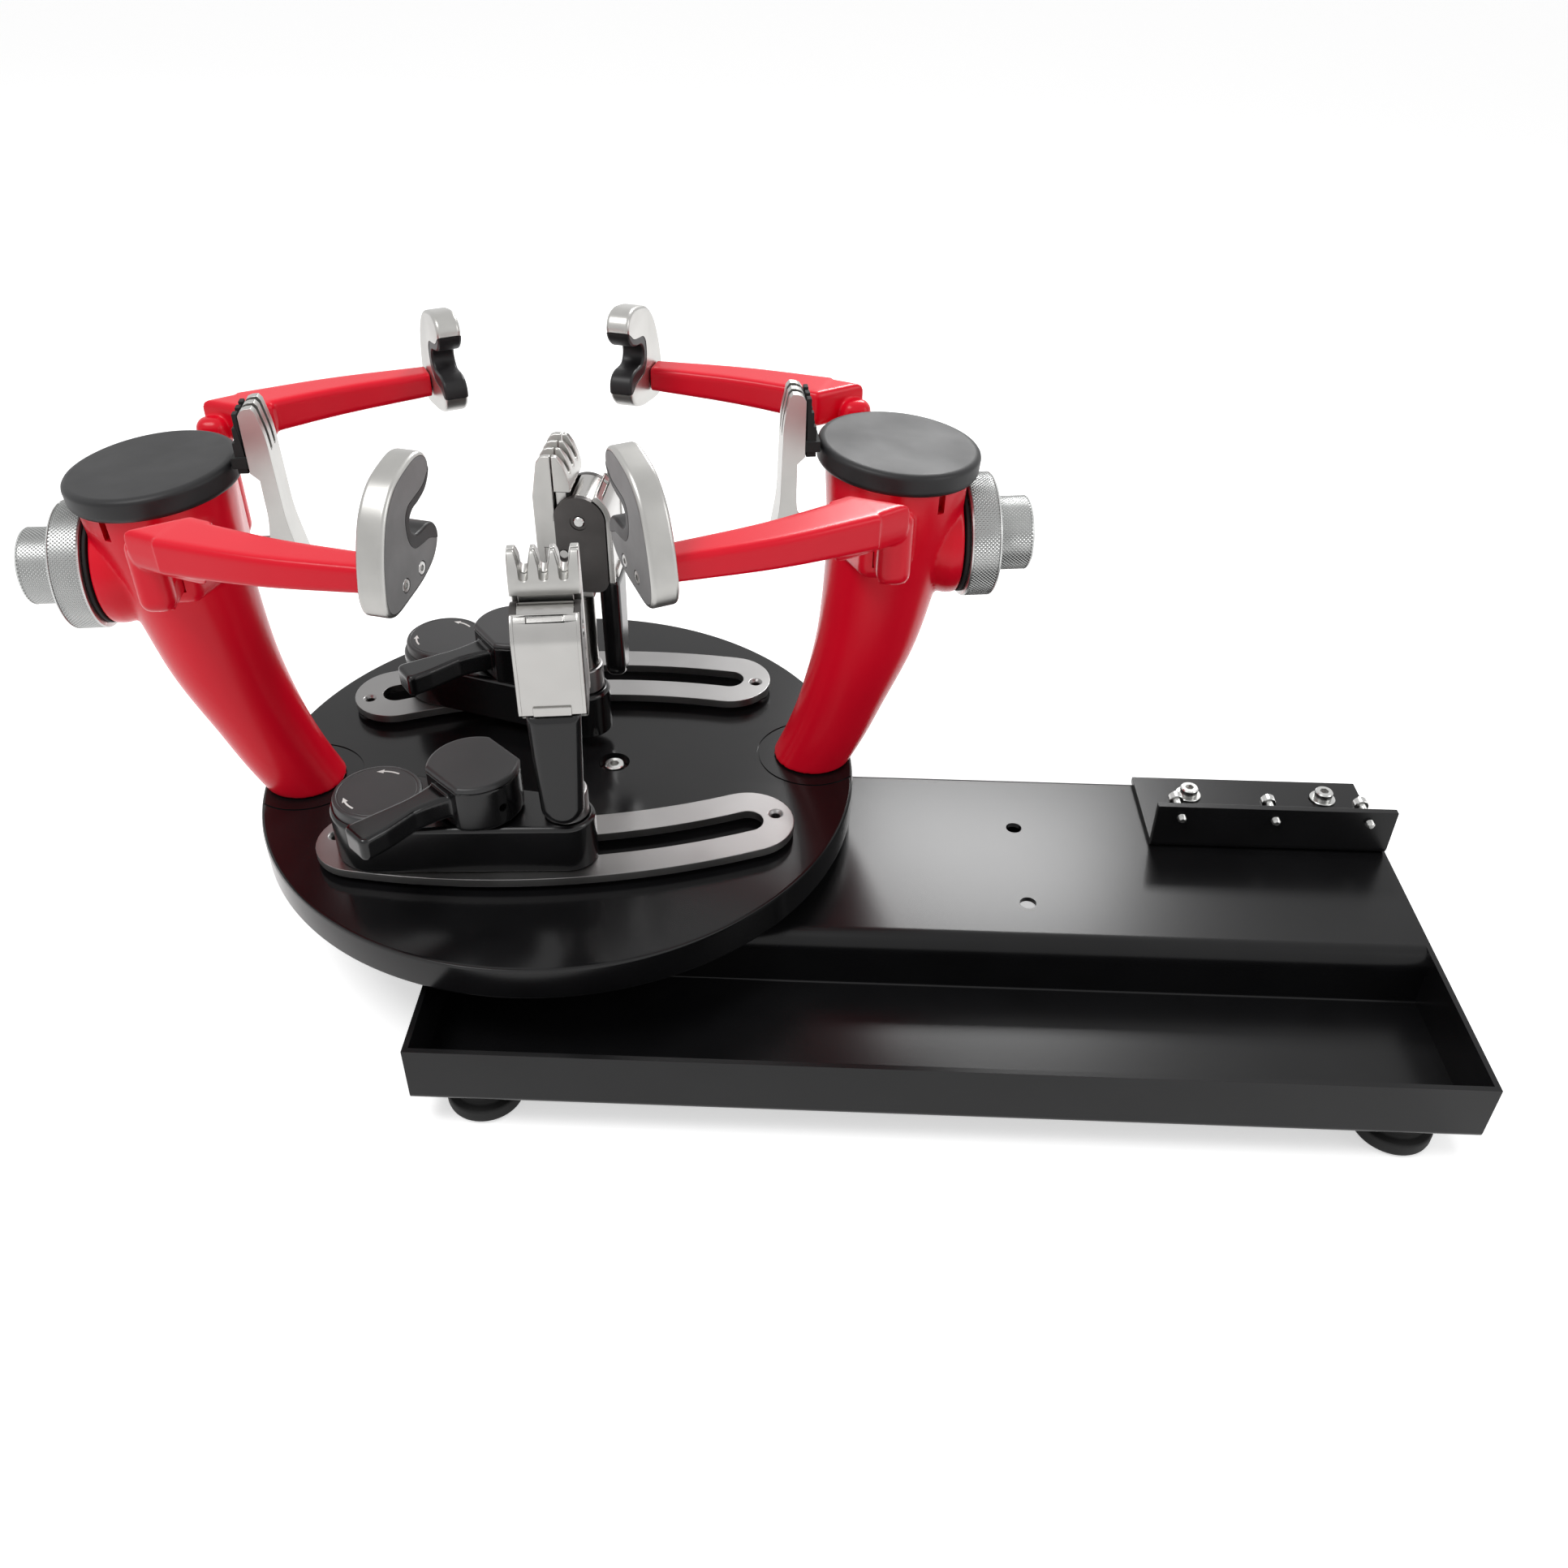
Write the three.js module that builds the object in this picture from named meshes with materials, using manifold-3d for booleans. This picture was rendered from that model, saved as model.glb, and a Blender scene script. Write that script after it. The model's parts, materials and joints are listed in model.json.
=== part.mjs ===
// Bench-top racket stringing machine: a tray base, a turntable on a bearing, two heads with
// racked side arms and a centre support each, and two string clamps on curved tracks.
// Millimetres, +Z up, origin below the middle of the machine on the surface that it stands on.
import * as THREE from 'three';
import { mergeVertices } from 'three/addons/utils/BufferGeometryUtils.js';
import Module from 'manifold-3d';

const wasm = await Module();
wasm.setup();

// Clearances and overruns shared by every fit
const fit = { seat: 0.3, running: 0.25, sliding: 0.4, overrun: 4 };
const weld = 0.0001;
const degree = Math.PI / 180;
const fullTurn = 2 * Math.PI;
const rightAngle = Math.PI / 2;

// Facets of round forms, in sides to a full turn
const sides = { huge: 44, large: 20, medium: 16, small: 12, tiny: 8 };
const arcSteps = { fine: 6, plain: 4, coarse: 2 };

// Base tray, folded from one sheet with welded ends
const tray = { length: 468, depth: 210, height: 31, sheet: 2.5, floorDepth: 79, returnDepth: 43 };
const trayBend = { sharp: 1.2, soft: 7 };
const foot = { radius: 17.5, neckRadius: 13, height: 18, padHeight: 8, edge: 2, insetX: 28, insetY: 20 };
const plateHole = { radius: 4, frontX: 47, frontY: 4, rearX: 46, rearY: 62 };

// Angle bracket for a tension head, its bolts and its adjusting screws
const bracket = { depth: 56, height: 27, sheet: 3.5, bend: 1, endInset: 1 };
const slot = { width: 7, length: 14 };
const bolt = { radius: 3, headRadius: 4.6, headHeight: 4.4, washerRadius: 6.6, washer: 1.2, length: 14 };
const boltPlace = { leftInset: 27, rightInset: 21, fromRear: 15 };
const screw = { radius: 2, headRadius: 3.6, headHeight: 4.5, tip: 3, length: 16, rise: 20.5 };
const screwPlace = { leftInset: 12.5, rightInset: 12.9, pitch: 46.8, count: 3 };
const socket = { widthShare: 0.52, depthShare: 0.6, sides: 6 };

// Bearing and turntable
const spindle = { flangeRadius: 35, flange: 3.7, radius: 9, rise: 13 };
const table = { radius: 150, thickness: 18, edge: 1.2, gap: 9, bossRadius: 34, x: -189, y: 69.3, turn: 7.35 };
const hub = {
  offset: 26.5, boreRadius: 8, boreDepth: 6, headRadius: 5, headHeight: 5, radius: 3, length: 15.5,
};

// Curved clamp tracks
const track = {
  arcRadius: 331, apex: 76, width: 45, slotWidth: 15, endX: 91, holeX: 105, holeRadius: 2.1,
  under: 3, thickness: 4.5, padRadius: 7,
};

// Heads: leaning masts with a hollow top, closed by a tilted cap
const mast = { footX: 129.5, footRadius: 20, lean: 35.8, headRadius: 34, height: 170 };
const mastHeightShares = [0, 0.1, 0.21, 0.412, 0.618, 0.72, 0.82, 0.92, 1];
const mastLeanShares = [0, 0.22, 0.413, 0.704, 0.863, 0.93, 0.98, 1, 1];
const mastGirthShares = [0, 0.04, 0.1, 0.329, 0.53, 0.68, 0.84, 0.96, 1];
const cavity = { radius: 18, x: 162, floor: 103 };
const cap = { radius: 37.4, thickness: 10.9, edge: 2.2, x: 165.3, top: 172.3, tilt: 4.9 };
const shaft = { height: 124.7, bore: 7.4, boss: 27, bossNeck: 20, bossStart: 172, bossEnd: 194, rim: 5 };
const ventSlot = { x: 178.5, width: 3.2, bottom: 150, depth: 12 };

// Guides that carry the arms' rack bars through the mast
const guide = {
  rootY: 20, endY: 46, rootHalf: 17, endHalf: 11, top: 157, endTop: 152, upper: 122, lower: 101,
};

// Side arms
const arm = {
  top: 174, tipWidth: 14, rootWidth: 23, tipHeight: 12, rootHeight: 16, edge: 3, cornerShare: 0.3,
  rootX: 140, rootY: 67, stations: 5,
};
const armBow = { x: 100, y: 85.5 };
const root = {
  innerX: 124, innerY: 60.5, heelX: 134, heelY: 53, outerX: 159, outerY: 66, shoulderX: 141, shoulderY: 77.5,
  kneeX: 124, kneeY: 85.5, bottom: 133, edge: 2.5,
};
const bar = { x: 154, width: 12, depth: 9, end: 14, legStart: 58, legEnd: 65 };
const armTravel = { inward: 8 };

// Drive drum of the big knob, between the two bars that it moves
const drum = { radius: 8.7, reach: 9 };

// Hooks at the arm tips with their linings
const hook = { x: 49.6, y: 117.4, turn: 19.8, thickness: 10, edge: 1.8, depth: 48, base: 154.5, height: 54 };
const lining = { face: 1.5, centreS: 41, centreZ: 186.5, halfDepth: 20, halfHeight: 16 };
const hookScrew = { radius: 3.3, lowS: 12.5, lowZ: 163, highS: 26, highZ: 169.5, depth: 0.9 };
const armSeat = 14;

// Centre supports: a pronged stem on a square leg
const support = {
  innerX: 107, stem: 10.5, top: 199, width: 18, padSeat: 3.5, padBottom: 170, waist: 150, lean: 1.8,
  legHalfWidth: 7, legHalfHeight: 6, legEnd: 146, heel: 123, boreEnd: 113,
  prongs: 3, prong: 4, prongDepth: 19,
};
const pad = {
  thickness: 4.5, top: 197, lugHeight: 5, lugBottom: 172.6, lugWidth: 20, step: 1.2, steps: 3,
};

// Knurled knobs on the two nested shafts
const armKnob = { radius: 29, start: 196.5, end: 211, neckRadius: 21, edge: 1.6, tube: 7, bore: 3.8 };
const supportKnob = { radius: 17.4, end: 229, edge: 1.4, shaft: 3.4, shaftEnd: 118 };

// String clamps
const clamp = {
  pivotRadius: 22.5, postRadius: 13, reach: 88, bottom: 7.8, top: 33, edge: 2.5,
  dialRadius: 20.5, dialTop: 38, dialEdge: 1, lockReach: 47, lockSeat: 16, lockSeatHeight: 1,
};
const stud = { headRadius: 11, headHeight: 1.9, neckRadius: 7.2, radius: 5, top: 29, lift: 0.5 };
const lock = {
  radius: 21, halfWidth: 17.5, bottom: 34.3, top: 58, edge: 2.4, pin: 5, pinEnd: 20,
  reach: 63, bladeBottom: 39.3, bladeTop: 51, bladeRoot: 15, bladeWaist: 8, bladeTip: 6, waistAt: 36,
  setScrew: 2, setScrewHeight: 44,
};
const collar = { radius: 10.3, height: 13, edge: 0.8 };
const post = { radius: 8.5, bottom: 13, top: 92, stub: 5.5, stubTop: 108 };
const head = {
  width: 29, cheekGap: 23.4, back: 14, split: 4, top: 165, bottom: 92.3, cheekBottom: 96,
  blockFront: 12, blockTop: 106, backSlope: 145, crown: 6.5,
};
const tooth = { count: 4, width: 4.6, depth: 11 };
const jaw = {
  front: 1.5, headFront: 4, headBottom: 147.6, tongueBottom: 111, pinHeight: 116, pin: 2, tongueGap: 0.5,
};
const lever = {
  pivotV: 7, pivotZ: 133, radius: 15, shell: 2.4, topAngle: 60, bottom: 101, width: 28,
  lobe: 5.1, lobeFlat: 3.9, flatTurn: 130, webHalf: 8, pin: 2.5,
};
const grip = { bottom: 42, topHalf: 11.5, tipHalf: 9.5, front: 23.4, back: 13.4, edge: 2 };

// The two clamps as they stand: place on the track, turn of the base, turn of the lock and of the head
const clampSettings = {
  front: { side: -1, pivotX: -80, baseTurn: -10, lockTurn: -131, headTurn: -170 },
  rear: { side: 1, pivotX: -62, baseTurn: -31.4, lockTurn: -119.2, headTurn: -68.6 },
};

// Surface finishes
function finish(color, roughness, metalness) {
  return new THREE.MeshStandardMaterial({ color, roughness, metalness });
}
const redPaint = finish(0xc8102e, 0.28, 0.2);
const blackPaint = finish(0x121214, 0.35, 0.2);
const blackPlastic = finish(0x18181a, 0.3, 0);
const mattePlastic = finish(0x35353a, 0.7, 0);
const rubber = finish(0x161616, 0.85, 0);
const castSilver = finish(0xb4b0aa, 0.42, 0.9);
const brushedSteel = finish(0xa9a7a3, 0.38, 1);
const chrome = finish(0xd6d6d4, 0.15, 1);
const zinc = finish(0xc2c4c6, 0.3, 1);

// Heights and places that follow from the sizes above
const plateTop = foot.height + tray.height;
const tableTop = plateTop + table.gap + table.thickness;
const trackTop = track.under + track.thickness;
const arcCentre = track.arcRadius - track.apex;
const screwRow = (screwPlace.count - 1) * screwPlace.pitch;
const bracketLength = screwPlace.leftInset + screwRow + screwPlace.rightInset;
const bracketStart = tray.length / 2 - bracket.endInset - bracketLength;

// Solid operations on closed meshes
function solidFrom(geometry) {
  const bare = geometry.clone();
  bare.deleteAttribute('normal');
  bare.deleteAttribute('uv');
  const merged = mergeVertices(bare, weld);
  const corners = merged.index.array;
  const kept = [];
  for (let i = 0; i < corners.length; i += 3) {
    const [a, b, c] = [corners[i], corners[i + 1], corners[i + 2]];
    if (a !== b && b !== c && c !== a) kept.push(a, b, c);
  }
  return new wasm.Manifold(new wasm.Mesh({
    numProp: 3,
    vertProperties: Float32Array.from(merged.attributes.position.array),
    triVerts: Uint32Array.from(kept),
  }));
}

function geometryFrom(solid) {
  const mesh = solid.getMesh();
  const geometry = new THREE.BufferGeometry();
  geometry.setAttribute('position', new THREE.BufferAttribute(mesh.vertProperties, 3));
  geometry.setIndex(new THREE.BufferAttribute(mesh.triVerts, 1));
  geometry.computeVertexNormals();
  return geometry;
}

const toSolid = (form) => (form instanceof THREE.BufferGeometry ? solidFrom(form) : form);
const join = (...forms) => forms.map(toSolid).reduce((sum, form) => sum.add(form));
const cut = (body, ...tools) => tools.map(toSolid).reduce((rest, tool) => rest.subtract(tool), toSolid(body));
const common = (one, other) => toSolid(one).intersect(toSolid(other));

// A block between two opposite corners
function block(low, high) {
  const size = high.map((value, i) => value - low[i]);
  const middle = high.map((value, i) => (value + low[i]) / 2);
  return new THREE.BoxGeometry(...size).translate(...middle);
}

// A round bar along Z between two heights, centred on x and y
function rod(radius, low, high, count, x = 0, y = 0) {
  const bar = new THREE.CylinderGeometry(radius, radius, high - low, count).rotateX(rightAngle);
  return bar.translate(x, y, (low + high) / 2);
}

// The same bar laid along X, with its axis at y and z
function rodX(radius, low, high, count, y, z) {
  return rod(radius, low, high, count).rotateY(rightAngle).translate(0, y, z);
}

// The same bar laid along Y, with its axis at x and z
function rodY(radius, low, high, count, x, z) {
  return rod(radius, -high, -low, count).rotateX(rightAngle).translate(x, 0, z);
}

// A profile of radius and height pairs, turned about Z
function turned(profile, count) {
  const points = profile.map(([radius, height]) => new THREE.Vector2(radius, height));
  return new THREE.LatheGeometry(points, count).rotateX(rightAngle);
}

// A shape in plan, raised between two heights, with chamfered edges if asked for
function raised(shape, low, high, curveSegments, edge = 0) {
  return new THREE.ExtrudeGeometry(shape, {
    depth: high - low - 2 * edge, curveSegments,
    bevelEnabled: edge > 0, bevelThickness: edge, bevelSize: edge, bevelOffset: -edge, bevelSegments: 1,
  }).translate(0, 0, low + edge);
}

// A shape drawn in a side plane of width and height, pulled out both ways along X or along Y
function pulledX(shape, half) {
  return raised(shape, -half, half, arcSteps.plain).rotateZ(rightAngle).rotateY(rightAngle);
}

function pulledY(shape, low, high, edge = 0) {
  return raised(shape, -high, -low, arcSteps.plain, edge).rotateX(rightAngle);
}

// A polygon of plain corners
const polygon = (points) => new THREE.Shape(points.map(([x, y]) => new THREE.Vector2(x, y)));

// Volume inside a closed set of faces, negative where they point inwards
function signedVolume(points, faces) {
  let volume = 0;
  for (let i = 0; i < faces.length; i += 3) {
    const [a, b, c] = [points[faces[i]], points[faces[i + 1]], points[faces[i + 2]]];
    volume += a.dot(b.clone().cross(c)) / 6;
  }
  return volume;
}

// A closed skin over rings of equal count, with flat ends
function skin(rings) {
  const count = rings[0].length;
  const points = rings.flat();
  const faces = [];
  for (let k = 0; k + 1 < rings.length; k += 1) {
    for (let i = 0; i < count; i += 1) {
      const a = k * count + i;
      const b = k * count + ((i + 1) % count);
      faces.push(a, b, b + count, a, b + count, a + count);
    }
  }
  const last = (rings.length - 1) * count;
  for (let i = 1; i + 1 < count; i += 1) {
    faces.push(0, i + 1, i);
    faces.push(last, last + i, last + i + 1);
  }
  const geometry = new THREE.BufferGeometry().setFromPoints(points);
  geometry.setIndex(signedVolume(points, faces) < 0 ? faces.reverse() : faces);
  return geometry;
}

// The outline of a bent sheet from the middle line of its section
function foldedSheet(points, radii, thickness) {
  const line = points.map(([x, y]) => new THREE.Vector2(x, y));
  const near = [];
  const far = [];
  const pushPair = (at, normal) => {
    near.push(at.clone().addScaledVector(normal, thickness / 2));
    far.push(at.clone().addScaledVector(normal, -thickness / 2));
  };
  const leftOf = (direction) => new THREE.Vector2(-direction.y, direction.x);
  const bendSteps = 3;
  line.forEach((corner, i) => {
    const before = i > 0 ? corner.clone().sub(line[i - 1]).normalize() : null;
    const after = i + 1 < line.length ? line[i + 1].clone().sub(corner).normalize() : null;
    if (!before || !after) {
      pushPair(corner, leftOf(before ?? after));
      return;
    }
    const turn = Math.asin(before.cross(after));
    const side = Math.sign(turn);
    const radius = radii[i - 1] + thickness / 2;
    const start = corner.clone().addScaledVector(before, -radius * Math.tan(Math.abs(turn) / 2));
    const centre = start.addScaledVector(leftOf(before), side * radius);
    for (let k = 0; k <= bendSteps; k += 1) {
      const normal = leftOf(before).rotateAround(new THREE.Vector2(), turn * k / bendSteps);
      pushPair(centre.clone().addScaledVector(normal, -side * radius), normal);
    }
  });
  return new THREE.Shape([...near, ...far.reverse()]);
}

// A hexagon socket that opens upwards at a head's top
function socketCut(headRadius, headHeight, top) {
  const depth = headHeight * socket.depthShare;
  return rod(headRadius * socket.widthShare, top - depth, top + fit.overrun, socket.sides);
}

// The scene graph
const machine = new THREE.Group();
function add(parent, name, form, material) {
  const mesh = new THREE.Mesh(geometryFrom(toSolid(form)), material);
  mesh.name = name;
  parent.add(mesh);
  return mesh;
}

function group(parent, x, y, z, turn = 0) {
  const child = new THREE.Group();
  child.position.set(x, y, z);
  child.rotation.z = turn * degree;
  parent.add(child);
  return child;
}

// Side outlines of the tray: the whole form, the tray's inside, and the space under the plate
function trayOutline() {
  const half = tray.depth / 2;
  const outer = trayBend.sharp + tray.sheet;
  const low = foot.height;
  const shape = new THREE.Shape();
  shape.moveTo(-half, plateTop);
  shape.lineTo(-half, low + outer);
  shape.absarc(outer - half, low + outer, outer, Math.PI, 3 * rightAngle, false);
  shape.absarc(half - outer, low + outer, outer, -rightAngle, 0, false);
  shape.absarc(half - outer, plateTop - outer, outer, 0, rightAngle, false);
  return shape;
}

function trayInside(riser) {
  const outer = trayBend.soft + tray.sheet;
  const wall = tray.sheet - tray.depth / 2;
  const floor = foot.height + tray.sheet;
  const shape = new THREE.Shape();
  shape.moveTo(wall, plateTop + fit.overrun);
  shape.lineTo(wall, floor);
  shape.lineTo(riser, floor);
  shape.absarc(riser + outer, plateTop - outer, outer, Math.PI, rightAngle, true);
  shape.lineTo(riser + outer, plateTop + fit.overrun);
  return shape;
}

function underPlate(riser) {
  const front = riser + tray.sheet;
  const rear = tray.depth / 2 - tray.sheet;
  const roof = plateTop - tray.sheet;
  const returnTop = foot.height + tray.sheet;
  const returnFront = tray.depth / 2 - tray.returnDepth;
  const shape = new THREE.Shape();
  shape.moveTo(front, foot.height - fit.overrun);
  shape.lineTo(returnFront, foot.height - fit.overrun);
  shape.lineTo(returnFront, returnTop);
  shape.lineTo(rear, returnTop);
  shape.lineTo(rear, roof);
  shape.absarc(front + trayBend.soft, roof - trayBend.soft, trayBend.soft, rightAngle, Math.PI, false);
  return shape;
}

// Base tray: front wall, floor, riser, plate, rear wall and a return under the rear feet
function makeTray() {
  const riser = tray.floorDepth - tray.depth / 2;
  const inside = tray.length / 2 - tray.sheet;
  const [under, over] = [plateTop - fit.overrun, plateTop + fit.overrun];
  const drill = (radius, x, y) => rod(radius, under, over, sides.small, x, y);
  const boltHoles = boltPlaces().map(([x, y]) => drill(bolt.radius + fit.running, x, y));
  const plateHoles = [
    drill(plateHole.radius, plateHole.frontX, plateHole.frontY),
    drill(plateHole.radius, plateHole.rearX, plateHole.rearY),
  ];
  const whole = pulledX(trayOutline(), tray.length / 2);
  const folded = cut(whole, pulledX(trayInside(riser), inside), pulledX(underPlate(riser), inside));
  add(machine, 'base_tray', cut(folded, ...boltHoles, ...plateHoles), blackPaint);
}

// Rubber feet with a wide pad and a narrower neck
function makeFeet() {
  const profile = [
    [0, 0], [foot.radius - foot.edge, 0], [foot.radius, foot.edge], [foot.radius, foot.padHeight],
    [foot.neckRadius, foot.padHeight + foot.edge], [foot.neckRadius, foot.height], [0, foot.height],
  ];
  const places = { front_left: [-1, -1], front_right: [1, -1], rear_left: [-1, 1], rear_right: [1, 1] };
  Object.entries(places).forEach(([name, [sideX, sideY]]) => {
    const x = sideX * (tray.length / 2 - foot.insetX);
    const y = sideY * (tray.depth / 2 - foot.insetY);
    add(machine, `foot_${name}`, turned(profile, sides.medium).translate(x, y, 0), rubber);
  });
}

// Where the bracket's bolts and screws go
function boltPlaces() {
  const y = tray.depth / 2 - boltPlace.fromRear;
  const insets = [boltPlace.leftInset, bracketLength - boltPlace.rightInset];
  return insets.map((inset) => [bracketStart + inset, y]);
}

function screwPlaces() {
  const first = bracketStart + screwPlace.leftInset;
  return Array.from({ length: screwPlace.count }, (_, i) => first + i * screwPlace.pitch);
}

function makeBracket() {
  const rear = tray.depth / 2;
  const front = rear - bracket.depth;
  const middle = bracket.sheet / 2;
  const upright = front + middle;
  const base = plateTop + middle;
  const line = [[upright, plateTop + bracket.height], [upright, base], [rear, base]];
  const section = foldedSheet(line, [bracket.bend], bracket.sheet);
  const angle = pulledX(section, bracketLength / 2).translate(bracketStart + bracketLength / 2, 0, 0);
  const slots = boltPlaces().map(([x, y]) => {
    const halfRun = (slot.length - slot.width) / 2;
    const outline = new THREE.Shape();
    outline.absarc(x - halfRun, y, slot.width / 2, rightAngle, -rightAngle, false);
    outline.absarc(x + halfRun, y, slot.width / 2, -rightAngle, rightAngle, false);
    return raised(outline, plateTop - fit.overrun, plateTop + bracket.sheet + fit.overrun, arcSteps.coarse);
  });
  const past = front + bracket.sheet + fit.overrun;
  const holes = screwPlaces().map((x) => (
    rodY(screw.radius + fit.running, front - fit.overrun, past, sides.tiny, x, plateTop + screw.rise)
  ));
  add(machine, 'tension_bracket', cut(angle, ...slots, ...holes), blackPaint);
}

// Socket-head bolts with washers hold the bracket down
function makeBracketBolts() {
  const seat = plateTop + bracket.sheet;
  boltPlaces().forEach(([x, y], i) => {
    const headSeat = seat + bolt.washer;
    const top = headSeat + bolt.headHeight;
    const whole = join(
      rod(bolt.washerRadius, seat, headSeat, sides.small),
      rod(bolt.headRadius, seat, top, sides.small),
      rod(bolt.radius, headSeat - bolt.length, headSeat, sides.tiny),
    );
    const finished = cut(whole, socketCut(bolt.headRadius, bolt.headHeight, top));
    add(machine, `bracket_bolt_${i + 1}`, geometryFrom(finished).translate(x, y, 0), zinc);
  });
}

// Adjusting screws lie through the bracket's upright, tips to the front
function makeAdjustingScrews() {
  const front = tray.depth / 2 - bracket.depth;
  const headStart = screw.length - screw.tip;
  const shank = rod(screw.radius, -screw.tip, headStart + fit.seat, sides.tiny);
  const cheese = rod(screw.headRadius, headStart, headStart + screw.headHeight, sides.small);
  const headEnd = headStart + screw.headHeight;
  const whole = cut(join(shank, cheese), socketCut(screw.headRadius, screw.headHeight, headEnd));
  screwPlaces().forEach((x, i) => {
    const laid = geometryFrom(whole).rotateX(-rightAngle).translate(x, front, plateTop + screw.rise);
    add(machine, `adjusting_screw_${i + 1}`, laid, zinc);
  });
}

// Flanged spindle on the plate, under the turntable
function makeSpindle() {
  const flangeTop = plateTop + spindle.flange;
  const profile = [
    [0, plateTop], [spindle.flangeRadius, plateTop], [spindle.flangeRadius, flangeTop],
    [spindle.radius, flangeTop], [spindle.radius, flangeTop + spindle.rise], [0, flangeTop + spindle.rise],
  ];
  const placed = turned(profile, sides.large).translate(table.x, table.y, 0);
  add(machine, 'turntable_spindle', placed, brushedSteel);
}

const turntable = group(machine, table.x, table.y, tableTop, table.turn);

// Turntable disc with a turned boss below, bored for the spindle
function makeDisc() {
  const bossBottom = spindle.flange + fit.seat - table.gap - table.thickness;
  const boreTop = spindle.flange + spindle.rise + fit.seat - table.gap - table.thickness;
  const bore = spindle.radius + fit.running;
  const rim = table.radius - table.edge;
  const profile = [
    [0, boreTop], [bore, boreTop], [bore, bossBottom], [table.bossRadius, bossBottom],
    [table.bossRadius, -table.thickness], [rim, -table.thickness],
    [table.radius, table.edge - table.thickness], [table.radius, -table.edge], [rim, 0], [0, 0],
  ];
  const holes = [
    rod(hub.boreRadius, -hub.boreDepth, fit.overrun, sides.small, hub.offset),
    rod(hub.radius + fit.running, -hub.boreDepth - hub.length, fit.overrun, sides.tiny, hub.offset),
  ];
  add(turntable, 'turntable_disc', cut(turned(profile, sides.huge), ...holes), blackPaint);
}

function makeHubBolt() {
  const low = fit.seat - hub.boreDepth;
  const top = low + hub.headHeight;
  const whole = join(
    rod(hub.headRadius, low, top, sides.small),
    rod(hub.radius, low - hub.length + 2 * fit.seat, low + fit.seat, sides.tiny),
  );
  const finished = geometryFrom(cut(whole, socketCut(hub.headRadius, hub.headHeight, top)));
  add(turntable, 'hub_bolt', finished.translate(hub.offset, 0, 0), zinc);
}

// A band along the track's arc with round ends, drawn for the front track
function arcBand(halfWidth) {
  const reach = Math.asin(track.endX / track.arcRadius);
  const outer = track.arcRadius + halfWidth;
  const inner = track.arcRadius - halfWidth;
  const endAt = (angle) => [Math.sin(angle) * track.arcRadius, arcCentre - Math.cos(angle) * track.arcRadius];
  const shape = new THREE.Shape();
  shape.absarc(0, arcCentre, outer, -rightAngle - reach, -rightAngle + reach, false);
  shape.absarc(...endAt(reach), halfWidth, reach - rightAngle, reach + rightAngle, false);
  shape.absarc(0, arcCentre, inner, -rightAngle + reach, -rightAngle - reach, true);
  shape.absarc(...endAt(-reach), halfWidth, rightAngle - reach, 3 * rightAngle - reach, false);
  return shape;
}

function makeTracks() {
  const plate = raised(arcBand(track.width / 2), track.under, trackTop, arcSteps.plain);
  const over = trackTop + fit.overrun;
  const opening = raised(arcBand(track.slotWidth / 2), -fit.overrun, over, arcSteps.plain);
  const holeY = arcCentre - Math.sqrt(track.arcRadius ** 2 - track.holeX ** 2);
  const ends = [-track.holeX, track.holeX];
  const padTop = track.under + fit.seat;
  const pads = ends.map((x) => rod(track.padRadius, fit.seat, padTop, sides.small, x, holeY));
  const holes = ends.map((x) => rod(track.holeRadius, -fit.overrun, over, sides.tiny, x, holeY));
  const front = geometryFrom(cut(join(plate, ...pads), opening, ...holes));
  add(turntable, 'clamp_track_front', front, brushedSteel);
  add(turntable, 'clamp_track_rear', front.clone().rotateZ(Math.PI), brushedSteel);
}

// Each head is built for +X outwards; the left one is its mirror image
const heads = { right: group(turntable, 0, 0, 0), left: group(turntable, 0, 0, 0) };
heads.left.scale.x = -1;

function circleRing(radius, x, z, count) {
  return Array.from({ length: count }, (_, i) => {
    const angle = fullTurn * i / count;
    return new THREE.Vector3(x + radius * Math.cos(angle), radius * Math.sin(angle), z);
  });
}

// Brings a form from the cap's own frame, with its top at zero, to its tilted place
function tiltToCap(geometry) {
  return geometry.rotateY(cap.tilt * degree).translate(cap.x, 0, cap.top);
}

// A guide that stands out of the mast in one Y direction, narrowing to its end
function guideForm(side, bottom) {
  const ring = (y, half, low, top) => [
    new THREE.Vector3(bar.x - half, side * y, low), new THREE.Vector3(bar.x + half, side * y, low),
    new THREE.Vector3(bar.x + half, side * y, top), new THREE.Vector3(bar.x - half, side * y, top),
  ];
  const wide = ring(guide.rootY, guide.rootHalf, bottom, guide.top);
  const narrow = ring(guide.endY, guide.endHalf, bottom + guide.top - guide.endTop, guide.endTop);
  return skin([wide, narrow]);
}

// Height span of an arm's bar: over the drum in front, under it behind
function barSpan(side) {
  const [near, far] = [drum.reach, drum.reach + bar.depth].map((offset) => shaft.height - side * offset);
  return side < 0 ? [near, far] : [far, near];
}

function barSlot(side) {
  const [low, high] = barSpan(side);
  const half = bar.width / 2 + fit.sliding;
  const out = guide.endY + fit.overrun;
  const past = bar.end + armTravel.inward + fit.sliding;
  const [near, far] = side < 0 ? [-out, past] : [-past, out];
  return block([bar.x - half, near, low - fit.sliding], [bar.x + half, far, high + fit.sliding]);
}

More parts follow.
